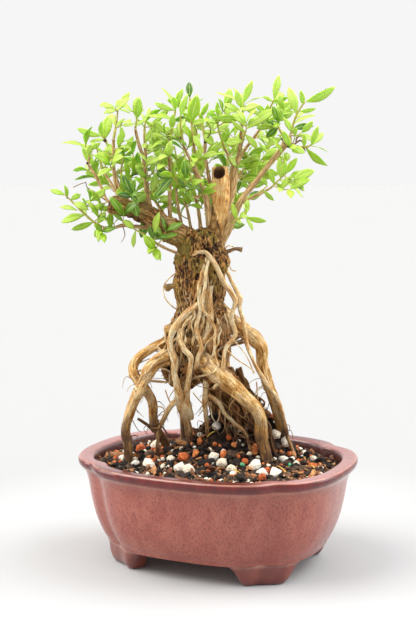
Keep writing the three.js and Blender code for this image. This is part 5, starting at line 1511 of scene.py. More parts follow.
@dataclass
class Wood:
    """The trunk, its limb, knobs and roots, and the woody branches.

    voxel: the spacing at which the stout parts are fused, in millimetres. skin: how strongly the trunk is
    ribbed, flaked and pitted. tones: heights up the trunk, and how pale it is at each. cords, mat and curls:
    how many there are of each. mat_top and mat_foot: the ovals that the mat hangs from and ends in, as across
    and behind of the middle and half the breadths. tangled: the roots that the curls grow from. hairs: the
    fine rootlets seen, as across, up, behind.
    """

    voxel: float = 0.72
    seed: int = 4
    skin: tuple[float, float, float] = (1.5, 0.85, 3.2)
    # the trunk's low tones are partly painted shade, keeping the trunk dark between the roots
    tones: str = "120 0.14, 150 0.1, 175 0.03, 200 0"
    root_tone: float = 0.95
    limb_tone: float = 0.14
    cords: int = 110
    cord_tops: tuple[float, float] = (150, 226)
    cord_lengths: tuple[float, float] = (18, 70)
    cord_foot: float = 126.0
    cord_radii: tuple[float, ...] = (0.32, 0.45, 0.7, 1.1)
    mat: int = 160
    mat_radii: tuple[float, ...] = (0.35, 0.6, 0.9, 1.5)
    mat_top: tuple[float, ...] = (4, 6, 13, 12)
    mat_foot: tuple[float, ...] = (22, 16, 24, 18)
    curls: int = 110
    curl_heights: tuple[float, float] = (84, 142)
    tangled: tuple[int, ...] = (2, 3, 10, 11, 12, 13, 14, 0, 1, 9)
    hairs: tuple[str, ...] = (
        "-30 209 -19, -36 204 -20, -39 199 -19, -38 191 -18, -33 185 -18, -30 183 -17",
        "7 153 -17, 13 147 -17, 22 141 -15, 27 137 -14",
        "12 160 -15, 20 150 -15, 24 142 -14, 26 136 -13",
        "-38 124 -6, -36 118 -6, -33 112 -6",
        "-45 112 2, -40 111 0, -38 107 -2",
        "-18 122 -8, -14 117 -7, -10 113 -5",
        "8 215 -8, 10 211 -10, 13 210.5 -10",
        "5 226 -8, 7 228.5 -8, 12 227.5 -8",
        "-5 110 -6, -4 104 -6, -1 100 -6, 1 104 -6, 1.5 109 -6",
        "28 130 -2, 28.5 124 -1, 29 118 0",
    )

    def build(self) -> dict[str, Piece]:
        """Makes the wood's pieces, each by a plain name."""
        trunk = self._trunk()
        return {
            "trunk": trunk, "fine_roots": self._fine_roots(), "rootlets": self._rootlets(),
            "cords": self._cords(trunk), "hanging": self._hanging(), "stub": self._stub()}

    def _trunk(self) -> Piece:
        """The stout wood: tubes fused into one skin, smoothed, then ridged along the nearest line."""
        surface = Surface()
        stations = []
        stout = [TRUNK, TRUNK_FRONT, LIMB, KNOBS[1], *[ROOTS[number] for number in STOUT_ROOTS]]
        for key, controls in enumerate(stout):
            line = laid_line(controls, 1.2)
            order = np.arange(len(line)) / 9.0
            sway = layered_noise(np.column_stack([order, np.full((len(line), 2), key * 3.1)]), 3, 2)
            line[:, 3] *= 1 + 0.09 * sway
            add_tube(surface, line, 22, None, key)
            at = line[:, :3]
            stations.append(np.column_stack([line, *carried_frames(at), run_of(at), np.full(len(line), key)]))
        trunk = surface.piece("trunk_and_stout_roots")
        fused = remade(trunk, "REMESH", mode="VOXEL", voxel_size=self.voxel * MM)
        points = self._relaxed(fused, 5)
        known = np.concatenate(stations)
        near = known[nearest_line(points, known[:, :4].copy())[0]]
        radius, side, other, along, key = near[:, 3], near[:, 4:7], near[:, 7:10], near[:, 10], near[:, 11]
        arm = points - near[:, :3]
        grain = np.stack([(arm * side).sum(1), (arm * other).sum(1), along], 1) + key[:, None] * GRAIN_STEP
        height = bark_relief(0.52, self.seed)(grain, radius)
        buttress = layered_noise(points / [7.0, 7.0, 26.0], 12, 2)
        flakes = 1 - 2 * np.abs(layered_noise(points / [2.2, 2.2, 4.2], 31))
        pits = np.minimum(layered_noise(points / [3.4, 3.4, 5.0], 41, 2) + 0.15, 0)
        ribbed, flaked, pitted = self.skin
        height = height + (key <= 2) * (ribbed * buttress + flaked * flakes + pitted * pits)
        normal = np.zeros(len(points) * 3)
        fused.vertex_normals.foreach_get("vector", normal)
        moved = points + normal.reshape(-1, 3) * height[:, None]
        fused.vertices.foreach_set("co", ((moved * MM) + POT_MIDDLE).ravel())
        tone = np.interp(points[:, 2], *np.array(rows(self.tones)).T)
        tone = np.where(key == 2, self.limb_tone, np.where(key < 2, tone, self.root_tone))
        paint(fused, "tone", np.clip(tone + 0.25 * layered_noise(points / 8.0, 77, 2), 0, 1))
        paint(fused, "height", height)
        paint(fused, "grain", grain)
        fused.shade_smooth()
        fused.update()
        return trunk

    @staticmethod
    def _relaxed(mesh: bpy.types.Mesh, rounds: int) -> Array:
        """The mesh's points in millimetres after each was moved towards the mean of its neighbours.

        Args:
            mesh: the mesh.
            rounds: how many times they are moved.

        Returns:
            Rows of x, y, z.
        """
        points = points_of(mesh)
        edges = np.empty(len(mesh.edges) * 2, int)
        mesh.edges.foreach_get("vertices", edges)
        a, b = edges.reshape(-1, 2).T
        count = len(points)
        degree = np.bincount(a, minlength=count) + np.bincount(b, minlength=count)
        for _ in range(rounds):
            total = [np.bincount(a, at[b], count) + np.bincount(b, at[a], count) for at in points.T]
            points = points + 0.5 * (np.stack(total, 1) / np.maximum(degree, 1)[:, None] - points)
        return points

    def _fine_roots(self) -> Piece:
        """The thinner roots that twine over the trunk, and the small knobs."""
        surface = Surface()
        knobs = [KNOBS[0], KNOBS[2], KNOBS[3]]
        thin = [root for number, root in enumerate(ROOTS) if number not in STOUT_ROOTS]
        for key, controls in enumerate(thin + knobs):
            line = laid_line(controls, 0.9)
            spot = np.column_stack([np.arange(len(line)) / 8.0, np.full((len(line), 2), 5.7 * key)])
            line[:, 3] *= 1 + 0.14 * layered_noise(spot, 8, 2)
            for axis in range(3):
                line[:, axis] += 0.35 * layered_noise(spot * 0.8 + 9 * axis, 14 + axis, 2)
            tone = 0.88 + 0.12 * math.sin(2.1 * key) if key < len(thin) else 0.12
            add_tube(surface, line, 14, bark_relief(0.42, 20 + key), key + 40, tone=tone)
        return surface.piece("fine_roots")

    def _rootlets(self) -> Piece:
        """Hair-thin rootlets: those seen, and a tangle of short curls under the trunk."""
        surface = Surface()
        for key, controls in enumerate(self.hairs):
            line = smooth_line(np.insert(LAYOUT.place(rows(controls)), 3, 0.45, 1), 0.9)
            add_tube(surface, line, 7, None, key + 80, tone=0.9)
        rng = np.random.default_rng(self.seed)
        share = np.linspace(0, 1, 6)[:, None]
        low, high = self.curl_heights
        for key in range(self.curls):
            line = laid_line(ROOTS[int(rng.choice(self.tangled))], 2.0)
            line = line[(line[:, 2] < high) & (line[:, 2] > low)]
            start = line[int(rng.integers(0, len(line)))]
            out = unit(rng.normal(size=3) * [1, 1, 0.5])
            length = rng.uniform(5, 16)
            bend = unit(np.cross(out, rng.normal(size=3)))
            path = start[:3] + out * (start[3] * 0.8) + out * length * share * (1 - 0.35 * share)
            path = path + bend * length * 0.45 * np.sin(2.6 * share)
            path = path + np.array([0, 0, -0.5 * length]) * share**2
            thick = np.linspace(rng.uniform(0.25, 0.5), 0.16, 6)[:, None]
            line = smooth_line(np.hstack([path, thick]), 1.0)
            add_tube(surface, line, 6, None, key + 100, tone=float(rng.random()))
        return surface.piece("rootlets")

    def _cords(self, trunk: Piece) -> Piece:
        """Thin cords that creep over the trunk: each follows its skin down a wandering line.

        Args:
            trunk: the piece whose skin they follow.

        Returns:
            The piece.
        """
        rng = np.random.default_rng(self.seed + 3)
        skin = BVHTree.FromObject(trunk, bpy.context.evaluated_depsgraph_get())
        surface = Surface()
        axis = np.array(rows(TRUNK))[::-1].T
        for key in range(self.cords):
            top = rng.uniform(*self.cord_tops)
            heights = np.arange(top, max(top - rng.uniform(*self.cord_lengths), self.cord_foot), -2.2)
            order = np.arange(len(heights))
            turn = rng.uniform(0, 2 * np.pi) + np.cumsum(rng.normal(0, 0.07, len(heights)))
            turn = turn + rng.uniform(-0.02, 0.02) * order
            thick = rng.choice(self.cord_radii) * np.interp(order, [0, 3, len(heights)], [0.5, 1, 0.6])
            across, behind = [np.interp(heights, axis[1], axis[column]) for column in (0, 2)]
            cores = LAYOUT.place(np.stack([across, heights, behind], 1))
            outs = np.stack([np.cos(turn), np.sin(turn), np.zeros(len(turn))], 1)
            line = []
            for core, out, radius in zip(cores, outs, thick):
                hit = skin.ray_cast(Vector((core + 40 * out) * MM + POT_MIDDLE), Vector(-out), 0.04)[0]
                if hit is not None:
                    line.append([*((np.array(hit) - POT_MIDDLE) / MM + out * radius * 0.3), radius])
            if len(line) > 4:
                path = np.array(line)
                path[1:-1, :3] = (path[:-2, :3] + 2 * path[1:-1, :3] + path[2:, :3]) / 4
                tone = float(rng.choice([0.3, 0.8, 1.0]))
                add_tube(surface, smooth_line(path, 1.1), 6, None, key + 400, tone=tone)
        return surface.piece("trunk_cords")

    def _hanging(self) -> Piece:
        """The brown mat of roots that hangs under the trunk and spreads over the mound."""
        rng = np.random.default_rng(self.seed + 6)
        surface = Surface()
        share = np.linspace(0, 1, 7)[:, None]
        for key in range(self.mat):
            angle = rng.uniform(0, 2 * np.pi)
            out = math.sqrt(rng.uniform(0.02, 1))
            across, behind, wide, deep = self.mat_top
            c, s = math.cos(angle), math.sin(angle)
            top = LAYOUT.place([across + wide * out * c, rng.uniform(122, 141), behind + deep * out * s])[0]
            across, behind, wide, deep = self.mat_foot
            c, s = math.cos(angle + rng.normal(0, 0.6)), math.sin(angle + rng.normal(0, 0.6))
            foot = LAYOUT.place([across + wide * out * c, 100, behind + deep * out * s])[0]
            foot[2] = GROUND.height(foot[0], foot[1]) - 1
            path = top + (foot - top) * share + rng.normal(0, 2.6, (7, 3)) * np.sin(np.pi * share)
            low = GROUND.height(path[:, 0], path[:, 1]) + 0.4 - 1.4 * (share[:, 0] > 0.95)
            path[:, 2] = np.maximum(path[:, 2], low)
            thick = rng.choice(self.mat_radii) * np.linspace(1.1, 0.7, 7)[:, None]
            line = smooth_line(np.hstack([path, thick]), 1.1)
            add_tube(surface, line, 7, None, key + 500, tone=0.5 * float(rng.beta(1.1, 2.2)))
        return surface.piece("hanging_roots")

    @staticmethod
    def _stub() -> Piece:
        """The cut stub: a tube that is hollowed from its slanted top, bare of bark in a broad wedge."""
        line, hollow = laid_line(STUB, 0.8), laid_line(STUB_HOLLOW, 0.8)
        surface, cutter = Surface(), Surface()
        add_tube(surface, line, 48, bark_relief(0.26, 61), 9, tone=0.0, hollow=0.0)
        add_tube(cutter, hollow, 36, bark_relief(0.2, 66), 10, tone=0.0, hollow=1.0)
        stub = surface.piece("cut_stub")
        mesh = cut_away(stub, cutter.piece("hollow_cutter"))
        points = points_of(mesh)
        off = np.abs(LAYOUT.seen(points)[:, 0] - 3)
        paint(mesh, "tone", np.interp(points[:, 2] - 3.2 * off, [229, 243], [0, 1]))
        below = (line[-1, :3] - points) @ unit(line[-1, :3] - line[-2, :3])
        inside = nearest_line(points, hollow)[1] < 1.06
        # painted shade in part: the hollow's colour grows stronger deeper below the cut top
        paint(mesh, "hollow", inside * np.interp(below, [0.4, 3.0], [0.15, 1.0]))
        return stub

    def dress(self, made: dict[str, Piece], finishes: Finishes) -> None:
        """Gives the wood its bark.

        Args:
            made: the pieces by their plain names.
            finishes: the materials.
        """
        dress(made["trunk"], finishes["bark"], ["trunk_and_roots"])
        for key, finish in (("fine_roots", "fine_root"), ("rootlets", "fine_root"), ("cords", "fine_root"),
                            ("hanging", "bark"), ("stub", "stub")):
            dress(made[key], finishes[finish])


# The crown


class SeededDraw:
    """Draws between 0 and 1 that are the same in every run."""

    def __init__(self, seed: int) -> None:
        """Starts the draws at a seed."""
        self.state = seed * 7919 + 1

    def __call__(self) -> float:
        """The next draw."""
        self.state = (self.state * 48271) % 2147483647
        return self.state / 2147483647


def half_width(share: Array) -> Array:
    """Half of a leaf's width at a share of its length: pointed at both ends, widest past the middle."""
    return np.sin(np.pi * np.clip(share, 0, 1) ** 1.08).clip(0) ** 0.85


@dataclass
class Leaf:
    """One leaf: where it leaves the stem, where its blade starts and ends, its width and its upper side."""

    foot: Array
    start: Array
    tip: Array
    width: float
    normal: Array
    tone: float = 0.6

    def samples(self) -> Array:
        """Points spread over the blade: its rib arched by a parabola, and its two edges."""
        length = float(np.linalg.norm(self.tip - self.start))
        ahead = unit(self.tip - self.start)
        side = unit(np.cross(ahead, self.normal))
        up = np.cross(side, ahead)
        share = np.array([0.2, 0.4, 0.6, 0.8, 1.0])
        lift = 0.09 * length * 4 * share * (1 - share)
        rib = self.start + ahead * (share * length)[:, None] + up * lift[:, None]
        half = np.where(share < 1, self.width / 2 * half_width(share), 0)
        return (rib[:, None] + side * (half[:, None] * np.array([-1, 0, 1]))[..., None]).reshape(-1, 3)


@dataclass
class Crowd:
    """What leaves keep clear of: points, the distance to keep, and the stem that each belongs to."""

    members: list[Array] = field(default_factory=list)
    stem_clear: float = 1.6
    leaf_clear: float = 2.7

    def add(self, points: Array, reach: Array | float, owner: int) -> None:
        """Adds points that belong to a stem."""
        reach, owner = np.full(len(points), reach), np.full(len(points), owner)
        self.members.append(np.column_stack([points, reach, owner]))

    def add_path(self, line: Array, owner: int) -> None:
        """Adds a line of x, y, z, radius, sampled every few millimetres.

        Args:
            line: the line.
            owner: the stem's number.
        """
        for start, end in zip(line[:-1], line[1:]):
            steps = max(1, math.ceil(np.linalg.norm(end[:3] - start[:3]) / 2.5))
            part = start + (end - start) * np.linspace(0, 1, steps + 1)[:, None]
            self.add(part[:, :3], part[:, 3] + self.stem_clear, owner)

    def takes(self, leaf: Leaf, owner: int) -> bool:
        """Whether a leaf keeps its distance from everything. If it does, it joins the crowd.

        Args:
            leaf: the leaf.
            owner: its stem's number.

        Returns:
            Whether it joined.
        """
        samples = leaf.samples()
        crowd = np.concatenate(self.members)
        reach = crowd[:, 3]
        keep = np.where(crowd[:, 4] == owner, np.minimum(reach, self.stem_clear), reach)
        square = ((samples[:, None] - crowd[:, :3]) ** 2).sum(-1)
        clear = bool(np.all(square > keep**2))
        if clear:
            self.add(samples, self.leaf_clear, owner)
        return clear


@dataclass(frozen=True)
class Perch:
    """Where a leaf springs from: a place on a stem, the stem's heading and a direction square to it."""

    start: Array
    heading: Array
    across: Array


@dataclass
class Sprig:
    """A stem that takes its leaves.

    order: its number. wood and green: its woody and its leafy stretch, as rows of x, y, z, radius.
    shoots: its thin side shoots, as such rows. room: the low and high corners that small leaves keep to.
    ceiling: the height that a leaf's tip stays under. depths: how deep a seen leaf is tried, in its lean.
    """

    order: int
    stem: Stem
    crowd: Crowd
    joint_gap: float = 0.35
    leaves: list[Leaf] = field(default_factory=list)
    shoots: list[Array] = field(default_factory=list)
    room: tuple[Sequence[float], Sequence[float]] = ((-106, -84), (99, 84, 347))
    ceiling: float = 348.0
    depths: tuple[float, ...] = (1, -1, 0, 1.8, -1.8, 2.6, -2.6, 3.4, -3.4)

    def __post_init__(self) -> None:
        """Splits the stem into its woody and its leafy stretch."""
        low, high = 0.8 * self.stem.thick[0], 0.85 * self.stem.thick[1]
        points, bare = LAYOUT.place(rows(self.stem.path)), self.stem.bare
        self.wood = np.column_stack([points[:bare], np.linspace(low, high, bare)])
        green = points[bare - 1:].copy()
        green[0] += unit(green[1] - green[0]) * self.joint_gap
        self.green = np.column_stack([green, np.linspace(high, 0.5, len(green))])

    def nearest(self, point: Array) -> tuple[Array, float]:
        """The nearest place on the leafy stretch to a point, kept off its very start and end.

        Args:
            point: x, y and z.

        Returns:
            The place and its distance.
        """
        start, way = self.green[:-1, :3], np.diff(self.green[:, :3], axis=0)
        share = ((point - start) * way).sum(1) / (way**2).sum(1)
        share = np.clip(share, [0.25, *[0.0] * (len(way) - 1)], 0.97)
        at = start + way * share[:, None]
        away = np.linalg.norm(at - point, axis=1)
        return at[away.argmin()], float(away.min())

    def perch(self, along: float) -> Perch:
        """The perch part of the way up the leafy stretch, counted in its points.

        Args:
            along: the way up.

        Returns:
            The perch.
        """
        index = min(int(along), len(self.green) - 2)
        low, high = self.green[index:index + 2, :3]
        heading = unit(high - low)
        return Perch(low + (high - low) * (along - index), heading, unit(np.cross([0, 0, 1], heading)))

    def lay(self, draw: SeededDraw) -> None:
        """Lays the leaves that are seen, then opposite pairs, each turned a quarter from the one below.

        Args:
            draw: the seeded draws.
        """
        for row in rows(self.stem.seen):
            self._lay_seen(row, draw)
        span, phase = len(self.green) - 1, math.pi * draw()
        for pair in range(self.stem.pairs):
            perch = self.perch(min(span - 0.02, span * (pair + 0.75) / self.stem.pairs))
            for half in (0, 1):
                length, opening = 12 + 6 * draw(), 0.75 + 0.4 * draw()
                wave = 0.25 * math.sin(7.1 * self.order + 3.3 * pair + half)
                tone = float(np.clip(self.stem.tone - 0.1 + wave, 0, 1))
                angle = phase + half * math.pi + (pair % 2) * math.pi / 2
                self._keep(self.spring(perch, angle, opening, length), tone)

    def _keep(self, leaf: Leaf | None, tone: float) -> None:
        """Keeps a leaf that had room, with its tone.

        Args:
            leaf: the leaf, or None.
            tone: how yellow it is.
        """
        if leaf is not None:
            leaf.tone = tone
            self.leaves.append(leaf)

    def _lay_seen(self, row: Sequence[float], draw: SeededDraw) -> None:
        """Lays a leaf where it is seen, at the first of a few depths that keeps it clear.

        Args:
            row: foot across, foot up, tip across, tip up and width.
            draw: the seeded draws.
        """
        foot, tip, seen_width = row[:2], row[2:4], row[4]
        near, _ = self.nearest(LAYOUT.place([*foot, 0])[0])
        root, away = self.nearest(LAYOUT.place([*foot, LAYOUT.depth(near[0], near[1])])[0])
        behind = LAYOUT.depth(root[0], root[1])
        start = LAYOUT.place([*foot, behind])[0] if away > 1.5 else root
        span = math.hypot(tip[0] - foot[0], tip[1] - foot[1])
        lean = (-1 if draw() < 0.5 else 1) * (0.12 + 0.3 * draw()) * span
        width = max(seen_width, 0.3 * span)
        turn = math.acos(min(1, seen_width / width)) * (-1 if draw() < 0.5 else 1)
        for share in self.depths:
            end = LAYOUT.place([*tip, behind + share * lean])[0]
            normal = turn_about(LAYOUT.turned(0, 0.35, -1), unit(end - start), turn)
            leaf = Leaf(root, start, end, width, normal)
            if self.crowd.takes(leaf, self.order):
                self._keep(leaf, self._tone(foot, tip))
                return

    def _tone(self, foot: Sequence[float], tip: Sequence[float]) -> float:
        """How yellow a leaf is: its stem's tone, varied by its place, and dark at the dark spots.

        Args:
            foot: across and up at its foot.
            tip: across and up at its tip.

        Returns:
            The tone, from 0 to 1.
        """
        spots = np.array(rows(DARK_SPOTS))
        if min(np.hypot(*(spots - foot).T).min(), np.hypot(*(spots - tip).T).min()) < 2.2:
            return 0.1
        wave = math.sin(0.71 * tip[0] + 1.3 * tip[1])
        return float(np.clip(self.stem.tone + 0.18 * wave, 0, 1))

    def fill(self, rng: np.random.Generator) -> None:
        """Adds small young leaves at the tip and between the others.

        Args:
            rng: the seeded draws.
        """
        span = len(self.green) - 1
        for number in range(2 * self.stem.fill + 2):
            tip = number < 2
            perch = self.perch(span - 0.03 if tip else span * rng.uniform(0.2, 0.97))
            length = rng.uniform(4, 8) if tip else rng.uniform(7, 13)
            opening = rng.uniform(0.25, 0.5) if tip else rng.uniform(0.6, 1.1)
            angle = number * math.pi + rng.uniform(-0.4, 0.4) + self.order
            leaf = self.spring(perch, angle, opening, length, 0.34)
            if leaf is not None and leaf.tip[2] < self.ceiling:
                self._keep(leaf, float(np.clip(self.stem.tone + rng.uniform(-0.2, 0.25), 0, 1)))

    def spring(
        self, perch: Perch, angle: float, opening: float, length: float, share: float = 0.36,
        facing: Array | None = None,
    ) -> Leaf | None:
        """A leaf that springs from a stem, swung a little until it is clear.

        Args:
            perch: where it springs from.
            angle: the turn about the stem.
            opening: the angle to the stem.
            length: the leaf's length.
            share: its width as a share of its length.
            facing: the way that its upper side turns, where the light has drawn it round.

        Returns:
            The leaf, or None where it has no room.
        """
        low, high = self.room
        for swing in (0, 0.5, -0.5, 1, -1):
            outward = turn_about(perch.across, perch.heading, angle + swing)
            ahead = perch.heading * math.cos(opening) + outward * math.sin(opening)
            normal = unit(perch.heading - ahead * (perch.heading @ ahead))
            if facing is not None:
                normal = unit(0.4 * normal + facing)
            leaf = Leaf(perch.start, perch.start, perch.start + ahead * length, share * length, normal)
            samples = leaf.samples()
            inside = np.all(samples[:, :2] > low) and np.all(samples < high)
            if inside and self.crowd.takes(leaf, self.order):
                return leaf
        return None

    def tubes(self, surface: Surface) -> None:
        """Adds the stem: a woody tube, a young green one swollen at each joint, and its side shoots.

        Args:
            surface: what it is added to.
        """
        wood = self.wood if len(self.wood) > 2 else np.insert(self.wood, 1, self.wood.mean(0), 0)
        woody, fresh = smooth_line(wood, 0.9), smooth_line(self.green, 0.8)
        swollen = (woody, 0.9, 11, 5, 1.2, 0.16), (fresh, 0.8, 8, 4, 0.9, 0.22)
        for line, step, gap, joint, reach, rise in swollen:
            along = np.arange(len(line)) * step
            line[:, 3] *= 1 + rise * np.exp(-(((along % gap) - joint) / reach) ** 2)
        add_tube(surface, woody, 10, bark_relief(0.3, 90 + self.order), self.order + 200, tone=0.0)
        add_tube(surface, fresh, 8, None, self.order + 260, tone=0.85)
        for line in self.shoots:
            add_tube(surface, line, 6, None, self.order + 360, tone=0.6)


class Side(Enum):
    """The groups of stems that are each one piece."""

    LEFT = "crown_left"
    MIDDLE = "crown_middle"
    RIGHT = "crown_right"
    FAR = "crown_far"


@dataclass
class Crown:
    """The leafy stems, the woody branches that carry them, and their buds.

    groups: the stems of each piece. wanted: heights, and how far across side shoots end at each.
    fill_clear and shoot_clear: what small leaves keep clear of others. shoot_reach: the longest way from a
    stem to a side shoot's end, as seen. shade: from and to where across, and under what height, the leaves
    are darker. far_from: how far up and behind the far shoots start. buds and twigs: across, up, behind,
    radius.
    """

    seed: int = 5
    fill_clear: float = 1.6
    shoot_clear: float = 1.0
    shoot_reach: float = 24.0
    shade: tuple[float, float, float] = (-76, -32, 265)
    far_from: tuple[float, float] = (246, 4)
    rings: int = 8
    columns: int = 4
    far_shoots: int = 60
    groups: dict[Side, tuple[int, ...]] = field(default_factory=lambda: {
        Side.LEFT: (0, 1, 2, 3, 4, 5, 6, 7, 8, 27),
        Side.MIDDLE: (9, 10, 12, 13, 14, 15, 16),
        Side.RIGHT: (17, 18, 19, 20, 21, 22, 23, 24, 25, 26),
        Side.FAR: (11, 28, 29, 30, 31, 32),
    })
    wanted: str = """324 -73 -61 6 19 45, 316 -67 -43 -35 -4 5 21 36 44, 307 -45 -37 -28 12 28 45 53 60,
        300 -68 -52 -44 -27 -20 37 52, 292 -76 -53 -36 -19 -12 -4 12 20 44, 284 -75 -52 -44 -36 -12 -3 13 20,
        276 -60 -51 -43 -20 -12 12 21 52, 268 -76 -67 -44 -28 -20 -12 12 53,
        260 -92 -84 -75 -67 -44 -19 -12 12 20, 252 -84 -76 -67 12 19, 244 -83 -75, 236 -84 -44, 228 -44,
        263 -60, 257 -73 -64, 249 -68 -59 -51, 240 -38"""
    buds: str = """-80 303 2 1.3, -76 258.5 -15 1.6, 48 302 -15 1.6, -35 307 -10 1, -26 305 -12 1,
        -92.5 287 3 1.1, -57.5 102.5 16 1.1, 46 304 -14 1.2, 50 299 -15 1.1, -52 250 -12 1.2, 16.2 300 3.8 1,
        -9 302 7 1.1"""
    twigs: tuple[str, ...] = (
        "-94 273.5 -9 0.3, -97.5 272.5 -9 0.3, -103 270 -10 0.35",
        "-94 274 -9 0.3, -93 270 -9 0.35, -88 267 -7 0.35, -80.5 261 -3 0.4",
        "-68 243 -10 0.4, -66.5 236 -13 0.3, -69 231 -14 0.2",
        "-107 262 -10 0.5, -108 265 -10 0.6, -109 267 -10 0.3",
        "-17.7 306 -19.6 0.45, -15 309 -17 0.4, -17 314 -16 0.25",
        "-9 304 8 0.4, -6 307 3 0.4, -5.5 312 -1 0.35, -8 316 -3 0.25",
        "50 302 -13 0.7, 54 300.5 -16 0.5, 58 303 -18 0.7, 61 301 -19 0.3",
        "54 300.5 -16 0.5, 57 297 -18 0.4, 60 298.5 -19 0.7, 62 295.5 -19 0.3",
        "55 301 -16 0.4, 56 305 -18 0.6, 59 306.5 -19 0.3",
    )

    def build(self) -> dict[str, Piece]:
        """Lays every leaf and makes the crown's pieces, each by its name."""
        crowd, draw, rng = Crowd(), SeededDraw(self.seed), np.random.default_rng(self.seed)
        for controls in (TRUNK, TRUNK_FRONT, LIMB, STUB, *KNOBS, *BRANCHES):
            line = laid_line(controls, 1.0)
            some = np.linspace(0, len(line) - 1, 4 * len(rows(controls)) + 1).round().astype(int)
            crowd.add_path(line[some], -1)
        sprigs = [Sprig(order, stem, crowd) for order, stem in enumerate(STEMS)]
        for sprig in sprigs:
            crowd.add_path(sprig.wood, -1)
            crowd.add_path(sprig.green, sprig.order)
        for sprig in sprigs:
            sprig.lay(draw)
        crowd.leaf_clear = self.fill_clear
        for sprig in sprigs:
            sprig.fill(rng)
        crowd.leaf_clear = self.shoot_clear
        self._side_shoots(sprigs)
        made = {}
        for side, members in self.groups.items():
            blades, stems = Surface(), Surface()
            self._blades(blades, [leaf for member in members for leaf in sprigs[member].leaves], rng)
            for member in members:
                sprigs[member].tubes(stems)
            made[side.value] = blades.piece(side.value)
            made[f"{side.value}_stems"] = stems.piece(f"{side.value}_stems")
        made["branches"] = self._branches()
        made["buds"] = self._bud_scales()
        return made

    def _side_shoots(self, sprigs: Sequence[Sprig]) -> None:
        """Adds thin side shoots with a few leaves each: those seen in front, then others on the far side.

        Args:
            sprigs: the stems.
        """
        rng = np.random.default_rng(self.seed + 2)
        lines = [smooth_line(np.vstack([sprig.wood[:-1], sprig.green]), 2.0)[2:, :3] for sprig in sprigs]
        places = np.concatenate(lines)
        owners = np.concatenate([np.full(len(line), order) for order, line in enumerate(lines)])
        seen = LAYOUT.seen(places)
        spots = [np.array([across + rng.uniform(-2, 2), up + rng.uniform(-2, 2)])
                 for up, *row in rows(self.wanted) for across in row]
        for spot in spots:
            gap = seen[:, :2] - spot
            cost = np.hypot(*gap.T) + 0.1 * np.abs(seen[:, 2] + 6) + 0.6 * np.maximum(gap[:, 1] + 5, 0)
            near = int(cost.argmin())
            if np.hypot(*gap[near]) > self.shoot_reach:
                continue
            end = LAYOUT.place([*spot, seen[near, 2] + rng.uniform(-10, 2)])[0]
            facing = LAYOUT.turned(rng.normal(0, 0.35), 0.55 + rng.normal(0, 0.2), -0.8)
            shaded = self.shade[0] < spot[0] < self.shade[1] and spot[1] < self.shade[2]
            self._side_shoot(sprigs[owners[near]], places[near], end, facing, 0.3 if shaded else 0.05, rng)
        far = np.flatnonzero(np.all(seen[:, 1:] > self.far_from, axis=1))
        for _ in range(self.far_shoots):
            near = int(rng.choice(far))
            start = places[near]
            away = unit(LAYOUT.turned(*rng.normal(0, 0.5, 2), 1.0)) + unit(start * [1, 1, 0]) * 0.6
            end = start + unit(away + [0, 0, 0.4]) * rng.uniform(9, 19)
            self._side_shoot(sprigs[owners[near]], start, end, away + np.array([0, 0, 0.8]), 0.05, rng)

    @staticmethod
    def _side_shoot(
        sprig: Sprig, start: Array, end: Array, facing: Array, shade: float, rng: np.random.Generator
    ) -> None:
        """Adds one side shoot: a shallow bow with a pair and a leaf at its tip, and a pair halfway.

        Args:
            sprig: the stem that it grows from.
            start: where it leaves the stem.
            end: where it ends.
            facing: the way that its leaves face.
            shade: how much darker its leaves are than the stem's.
            rng: the seeded draws.
        """
        line = smooth_line([[*start, 0.5], [*(start + end) / 2 + [0, 0, -1.2], 0.45], [*end, 0.3]], 1.2)
        heading = unit(line[-1, :3] - line[-3, :3])
        across = unit(np.cross(facing, heading))
        half = len(line) // 2
        had = len(sprig.leaves)
        tip_pair, halfway = [(-1, 0.7, 14.0)] * 2, [(half, 0.95, 12.0)] * 2
        for count, (place, opening, length) in enumerate([*tip_pair, (-1, 0.15, 11.0), *halfway]):
            angle = math.pi * (count % 2) + rng.normal(0, 0.35)
            opening += rng.normal(0, 0.12)
            length *= rng.uniform(0.75, 1.25)
            perch = Perch(line[place, :3], heading, across)
            leaf = sprig.spring(perch, angle, opening, length, rng.uniform(0.34, 0.44), facing)
            if leaf is not None:
                leaf.tone = float(np.clip(rng.normal(sprig.stem.tone - shade, 0.2), 0.1, 0.92))
                sprig.leaves.append(leaf)
        if len(sprig.leaves) > had:
            sprig.shoots.append(line)

    def _blades(self, surface: Surface, leaves: Sequence[Leaf], rng: np.random.Generator) -> None:
        """Adds leaves: a flattened ring of points carried from foot to tip.

        Along a leaf the half width follows its outline. Across it the blade folds up from its rib, and it
        arches, droops at the tip and waves at the edge. The ring runs over the upper face and back under it.

        Args:
            surface: what they are added to.
            leaves: the leaves.
            rng: the seeded draws.
        """
        count = len(leaves)
        foot, start, tip, wide, normal, tone = [
            np.array([getattr(leaf, name) for leaf in leaves])
            for name in ("foot", "start", "tip", "width", "normal", "tone")]
        length = np.linalg.norm(tip - start, axis=1)
        ahead = unit(tip - start)
        side = unit(np.cross(ahead, normal))
        up = np.cross(side, ahead)
        share = np.linspace(0, 1, self.rings + 1)[:-1]
        share[0] = 0.02
        breadth = np.linspace(-1, 1, self.columns + 1)
        loop = np.concatenate([breadth, breadth[-2:0:-1]])
        face = np.concatenate([np.ones(self.columns + 1), -np.ones(self.columns - 1)])
        face[[0, self.columns]] = 0
        half = np.maximum(wide[:, None] / 2 * half_width(share)[None], 0.28)[:, :, None]
        ranges = (0.05, 0.12), (-0.02, 0.1), (0.02, 0.07), (0, 6.28)
        arch, droop, wave, phase = [rng.uniform(*ends, count)[:, None] for ends in ranges]
        lift = length[:, None] * (4 * arch * share * (1 - share) - droop * share**3 * (1 - share) * 2)
        fold = 0.2 * half * np.abs(loop) ** 1.3
        ripple = wave[..., None] * half * 3 * loop**2 * np.sin(9 * share[:, None] + phase[..., None] + loop)
        thick = 0.13 * (1 - loop**2) ** 0.5 + 0.03
